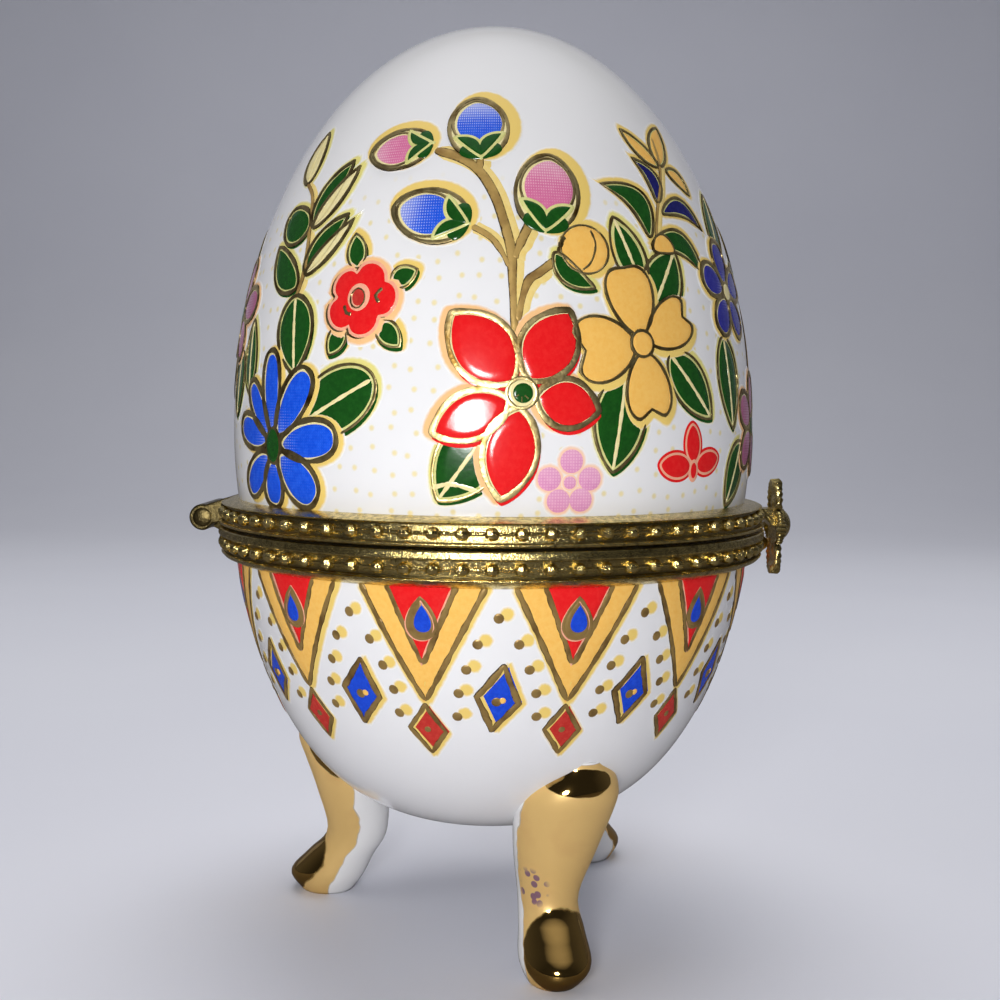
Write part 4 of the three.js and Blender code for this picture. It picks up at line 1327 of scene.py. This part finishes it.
stroke("gold", rosette, [(-1.5, -0.6), (-1.2, -1.3), (-0.6, -1.5)], 0.4, 0.12)

# The blue flower at the left with its leaves
blue_flower = (-47.9, 53.3, OVER)
leaf((-34.6, 56.7, 0), (-2.2, -1.2), (6.0, 3.0), 6.0, blunt=(0.5, 0.5))
leaf((-60.5, 62.3, 0), (0.4, -3.8), (-0.3, 3.6), 3.2)
blue_petals = [
    (55, 8.8, 3.8), (96, 9.3, 3.1), (129, 8.0, 2.7), (164, 7.7, 3.2), (-141, 7.5, 3.4), (-95, 6.0, 3.3),
    (-41, 7.8, 4.2), (6, 8.8, 3.9),
]
blossom(blue_flower, blue_petals, "blue_print", "yellow_ground", 1.2, (0.62, 0.42), 0.46, 0.62,
        (0.3, -0.05))
eye(blue_flower, "green", 2.1, 2.2, 0.5, 1.5)

# Flowers at the egg's sides: a pink one by the hinge, a pink and a blue one by the clasp
hinge_leaves = (-73.5, 67.0, 0)
hinge_pink = (-73.5, 67.0, OVER)
pink_petals = [(80, 5.6, 3.6), (8, 6.0, 3.6), (-64, 5.6, 3.6), (-136, 5.7, 3.6), (152, 5.6, 3.6)]
leaf(hinge_leaves, (-2, -3), (-6.5, -9.5), 4.6)
leaf(hinge_leaves, (-1, 3), (-5, 10), 4.0)
leaf(hinge_leaves, (3, -4), (2.4, -11), 4.0)
blossom(hinge_pink, pink_petals, "mauve_print", "peach_ground", 0.8, (0.6, 0.5), 0.42, 0.6)
eye(hinge_pink, "green", 1.7, 1.9, 0.4)
blue_leaves = (60.5, 69.0, 0)
clasp_blue = (60.5, 69.0, OVER)
violet_petals = [(90, 5.4, 3.4), (18, 5.2, 3.4), (-54, 5.2, 3.4), (-126, 5.2, 3.4), (162, 5.2, 3.4)]
leaf(blue_leaves, (0.5, 3.6), (2.8, 11), 3.8)
leaf(blue_leaves, (3.4, 0.4), (9.4, 3.6), 3.6)
blossom(clasp_blue, violet_petals, "violet_print", "yellow_ground", 0.8, (0.6, 0.42), 0.4, 0.55)
eye(clasp_blue, "cream", 1.6, 1.8, 0.4)
leaf((56.0, 59.9, 0), (-0.4, 4.6), (0.8, -4.6), 4.7)
leaf((60.0, 50.4, 0), (1.2, 3.6), (-1.8, -2.8), 4.3)
pink_leaves = (71.5, 55.6, 0)
clasp_pink = (71.5, 55.6, OVER)
leaf(pink_leaves, (4, 2.4), (9.5, 7.5), 4.2)
leaf(pink_leaves, (4.4, -2), (10.6, -4.4), 3.8)
blossom(clasp_pink, pink_petals, "mauve_print", "peach_ground", 0.8, (0.6, 0.5), 0.42, 0.6)
eye(clasp_pink, "green", 1.7, 1.9, 0.4)
stem((86, 74.5, 0), [(-6.2, -13.9), (-4.6, -10.8), (-2.6, -7), (-1, -4), (0, -2.5)], 0.7)
bud((86, 74.5, OVER), (0.4, 3.4), (0, -3.2), 5.0, "blue_bud", (0.3, 0.3))

# The back of the egg has the same spray, half a turn round
for sheets in films.values():
    sheets += [(spots * (-1, -1, 1), along) for spots, along in sheets]

finishes.update({
    "gold": fired_gold("raised_bright_gold_line", GOLD_BRIGHT, GOLD_RUBBED, True),
    "gilt": fired_gold("flat_bright_gold", GOLD_BRIGHT, GOLD_RUBBED, False),
    "peach_ground": feathered_ground("peach_wash_on_glaze", "#FBC88C"),
    "pink_ground": feathered_ground("rose_wash_on_glaze", "#FBD0B0"),
    "lime_ground": feathered_ground("lime_wash_on_glaze", "#EADF86"),
    "green": fired_colour("fired_green_onglaze", "#174A17", "#1F5A1C"),
    "lime": fired_colour("fired_lime_onglaze", "#E0DD92", "#CDCB74"),
    "cream": fired_colour("fired_cream_onglaze", "#F6E9B0", "#F1DE94"),
    "navy": fired_colour("fired_navy_onglaze", "#17185E", "#202474"),
    "blue_print": fired_colour("fired_cobalt_onglaze", "#1150DE", "#2465EC", "#B7C4F4", 0.42, -0.2),
    "blue_bud": fired_colour("fired_cobalt_halftone", "#1F55DC", "#2F68E8", "#D5DBF8", 0.1, 1.05),
    "violet_print": fired_colour("fired_violet_onglaze", "#2A2C90", "#3A3CA2", "#8C8FD0", 0.4, 0.0),
    "pink_bud": fired_colour("fired_rose_halftone", "#D8709C", "#DF82A8", "#F3CBD6", 0.0, 1.2),
    "pink_print": fired_colour("printed_rose_halftone", "#DE8EBB", "#E6A0C4", "#F2BFD2", -1.2, 1.6),
    "mauve_print": fired_colour("fired_mauve_onglaze", "#A85C80", "#B66E90", "#D8A3BC", 0.9, 0.1),
    "stalk_gold": fired_gold("raised_pale_gold_line", STALK_GOLD, STALK_WORN, True, STALK_METAL),
    "stalk_yellow": fired_colour("fired_straw_onglaze", "#F3D98C", "#F0CF72"),
})
for colour, sheets in films.items():
    spray = fire("lid_spray_" + colour, sheets)
    wear(spray, finishes[colour])
    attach(spray, "lid")
for blank in film_blanks.values():
    bpy.data.objects.remove(blank[0])

# The studio is one sheet of pale matt paper, laid level and swept up behind into a plain wall.
# Its level part is dimmer in reflections than to the eye, which stands in for a dark room round the box.
FLOOR_GREY = "#E4E5EC"
FLOOR_SHADE = "#DDDEE7"
FLOOR_REFLECTED = "#5E5954"
FLOOR_CLOUD = 250 / 3
FLOOR_HALF = 900
FLOOR_COLUMNS = 24
FLOOR_ROWS = 60
SWEEP_START = 420
SWEEP_HEIGHT = 700
SWEEP_DEPTH = 250
LEVEL_TO = 20
WALL_FROM = 150


def floor_surface(u, v):
    """A level sheet that curves up into a wall as v grows."""
    along = -FLOOR_HALF + v * (FLOOR_HALF + SWEEP_START + SWEEP_HEIGHT)
    past = np.clip((along - SWEEP_START) / SWEEP_HEIGHT, 0, 1)
    y = np.minimum(along, SWEEP_START) + SWEEP_DEPTH * np.sin(np.clip(past * 2, 0, 1) * math.pi / 2)
    return (u - 0.5) * 2 * FLOOR_HALF, y, SWEEP_HEIGHT * past ** 2


def matt_paper():
    # Pale grey paper with faint clouds, and no shine of its own.
    finish, tree, skin = new_finish("matt_paper_sweep")
    place = wire(tree, "TexCoord").outputs["Object"]
    cloud = wire(tree, "TexNoise", {"Vector": place, "Scale": 1 / (FLOOR_CLOUD * MM)})
    tint = wire(tree, "Mix", {0: cloud, 6: paint(FLOOR_GREY), 7: paint(FLOOR_SHADE)}, data_type="RGBA")
    up = wire(tree, "SeparateXYZ", {0: place}).outputs["Z"]
    level = wire(tree, "MapRange", {0: up, 1: LEVEL_TO * MM, 2: WALL_FROM * MM, 3: 1, 4: 0})
    reflected = wire(tree, "LightPath").outputs["Is Glossy Ray"]
    dim = wire(tree, "Math", {0: level, 1: reflected}, operation="MULTIPLY")
    seen = wire(tree, "Mix", {0: dim, 6: tint, 7: paint(FLOOR_REFLECTED)}, data_type="RGBA")
    wire(tree, skin, {"Base Color": seen, "Roughness": 0.55})
    return finish


floor = shaped("studio_floor", FLOOR_COLUMNS, FLOOR_ROWS, floor_surface)
wear(floor, matt_paper())

# A small lamp beside the lens lights the front, and three soft lamps fill the sides, the back and the top.
# Only the small one shows in the polish, which otherwise reflects the dim room and the pale wall behind.
LAMPS = {
    "key": ((-22, -150, 64), 34, 0.053),
    "left_fill": ((-320, -40, 240), 260, 0.12),
    "right_fill": ((300, 120, 260), 260, 0.12),
    "top_fill": ((0, 160, 600), 480, 2.3),
}
LAMP_AIM = (0, 0, 50)
KEY_SPREAD = 120
ROOM_LIGHT = "#DFE0E8"
ROOM_STRENGTH = 0.24
# Strength of the room in reflections, and the stretch of direction over which it changes.
ROOM_SEEN_FRONT = 0.03
ROOM_SEEN_BACK = 0.09
ROOM_DEPTH = (-0.5, 0.3)
ROOM_SEEN_ABOVE = 0.5
ROOM_TOP = (0.75, 0.95)
for lamp_name, (lamp_place, lamp_size, lamp_power) in LAMPS.items():
    lamp_data = bpy.data.lights.new(lamp_name, "AREA")
    lamp_data.shape = "DISK"
    lamp_data.size = lamp_size * MM
    lamp_data.energy = lamp_power
    lamp = bpy.data.objects.new(lamp_name, lamp_data)
    bpy.context.scene.collection.objects.link(lamp)
    lamp.visible_glossy = lamp_name == "key"
    if lamp_name == "key":
        lamp_data.spread = math.radians(KEY_SPREAD)
    lamp.location = [c * MM for c in lamp_place]
    lamp_way = Vector(LAMP_AIM) - Vector(lamp_place)
    lamp.rotation_mode = "QUATERNION"
    lamp.rotation_quaternion = lamp_way.to_track_quat("-Z", "Y")
room = bpy.data.worlds.new("dim_room")
bpy.context.scene.world = room
room.use_nodes = True
air = room.node_tree
way = wire(air, "SeparateXYZ", {0: wire(air, "TexCoord").outputs["Generated"]})
depth_ends = {1: ROOM_DEPTH[0], 2: ROOM_DEPTH[1], 3: ROOM_SEEN_FRONT, 4: ROOM_SEEN_BACK}
ahead = wire(air, "MapRange", {0: way.outputs["Y"], **depth_ends})
above = wire(air, "MapRange", {0: way.outputs["Z"], 1: ROOM_TOP[0], 2: ROOM_TOP[1], 4: ROOM_SEEN_ABOVE})
seen = wire(air, "Math", {0: ahead, 1: above})
reflected = wire(air, "LightPath").outputs["Is Glossy Ray"]
strength = wire(air, "MapRange", {0: reflected, 3: ROOM_STRENGTH, 4: seen})
wire(air, air.nodes["Background"], {"Color": paint(ROOM_LIGHT), "Strength": strength})
bpy.context.scene.view_settings.view_transform = "Standard"

# The camera stands close in front, a little above the seam, tipped down and rolled by a hair.
# Its lens is a short portrait one, and all of the box is sharp.
CAMERA_PLACE = (0, -136.3, 56.5)
CAMERA_LENS = 43.4
CAMERA_SENSOR = 36
CAMERA_NEAR = 10
CAMERA_FAR = 10000
CAMERA_YAW = -0.38
CAMERA_PITCH = 85.94
CAMERA_ROLL = 0.507
camera_data = bpy.data.cameras.new("camera")
camera_data.sensor_width = CAMERA_SENSOR
camera_data.lens = CAMERA_LENS
camera_data.clip_start = CAMERA_NEAR * MM
camera_data.clip_end = CAMERA_FAR * MM
camera = bpy.data.objects.new("camera", camera_data)
bpy.context.scene.collection.objects.link(camera)
camera_way = Matrix.Translation([c * MM for c in CAMERA_PLACE])
for angle, axis in ((CAMERA_YAW, "Z"), (CAMERA_PITCH, "X"), (CAMERA_ROLL, "Z")):
    camera_way = camera_way @ Matrix.Rotation(math.radians(angle), 4, axis)
camera.matrix_world = camera_way
bpy.context.scene.camera = camera
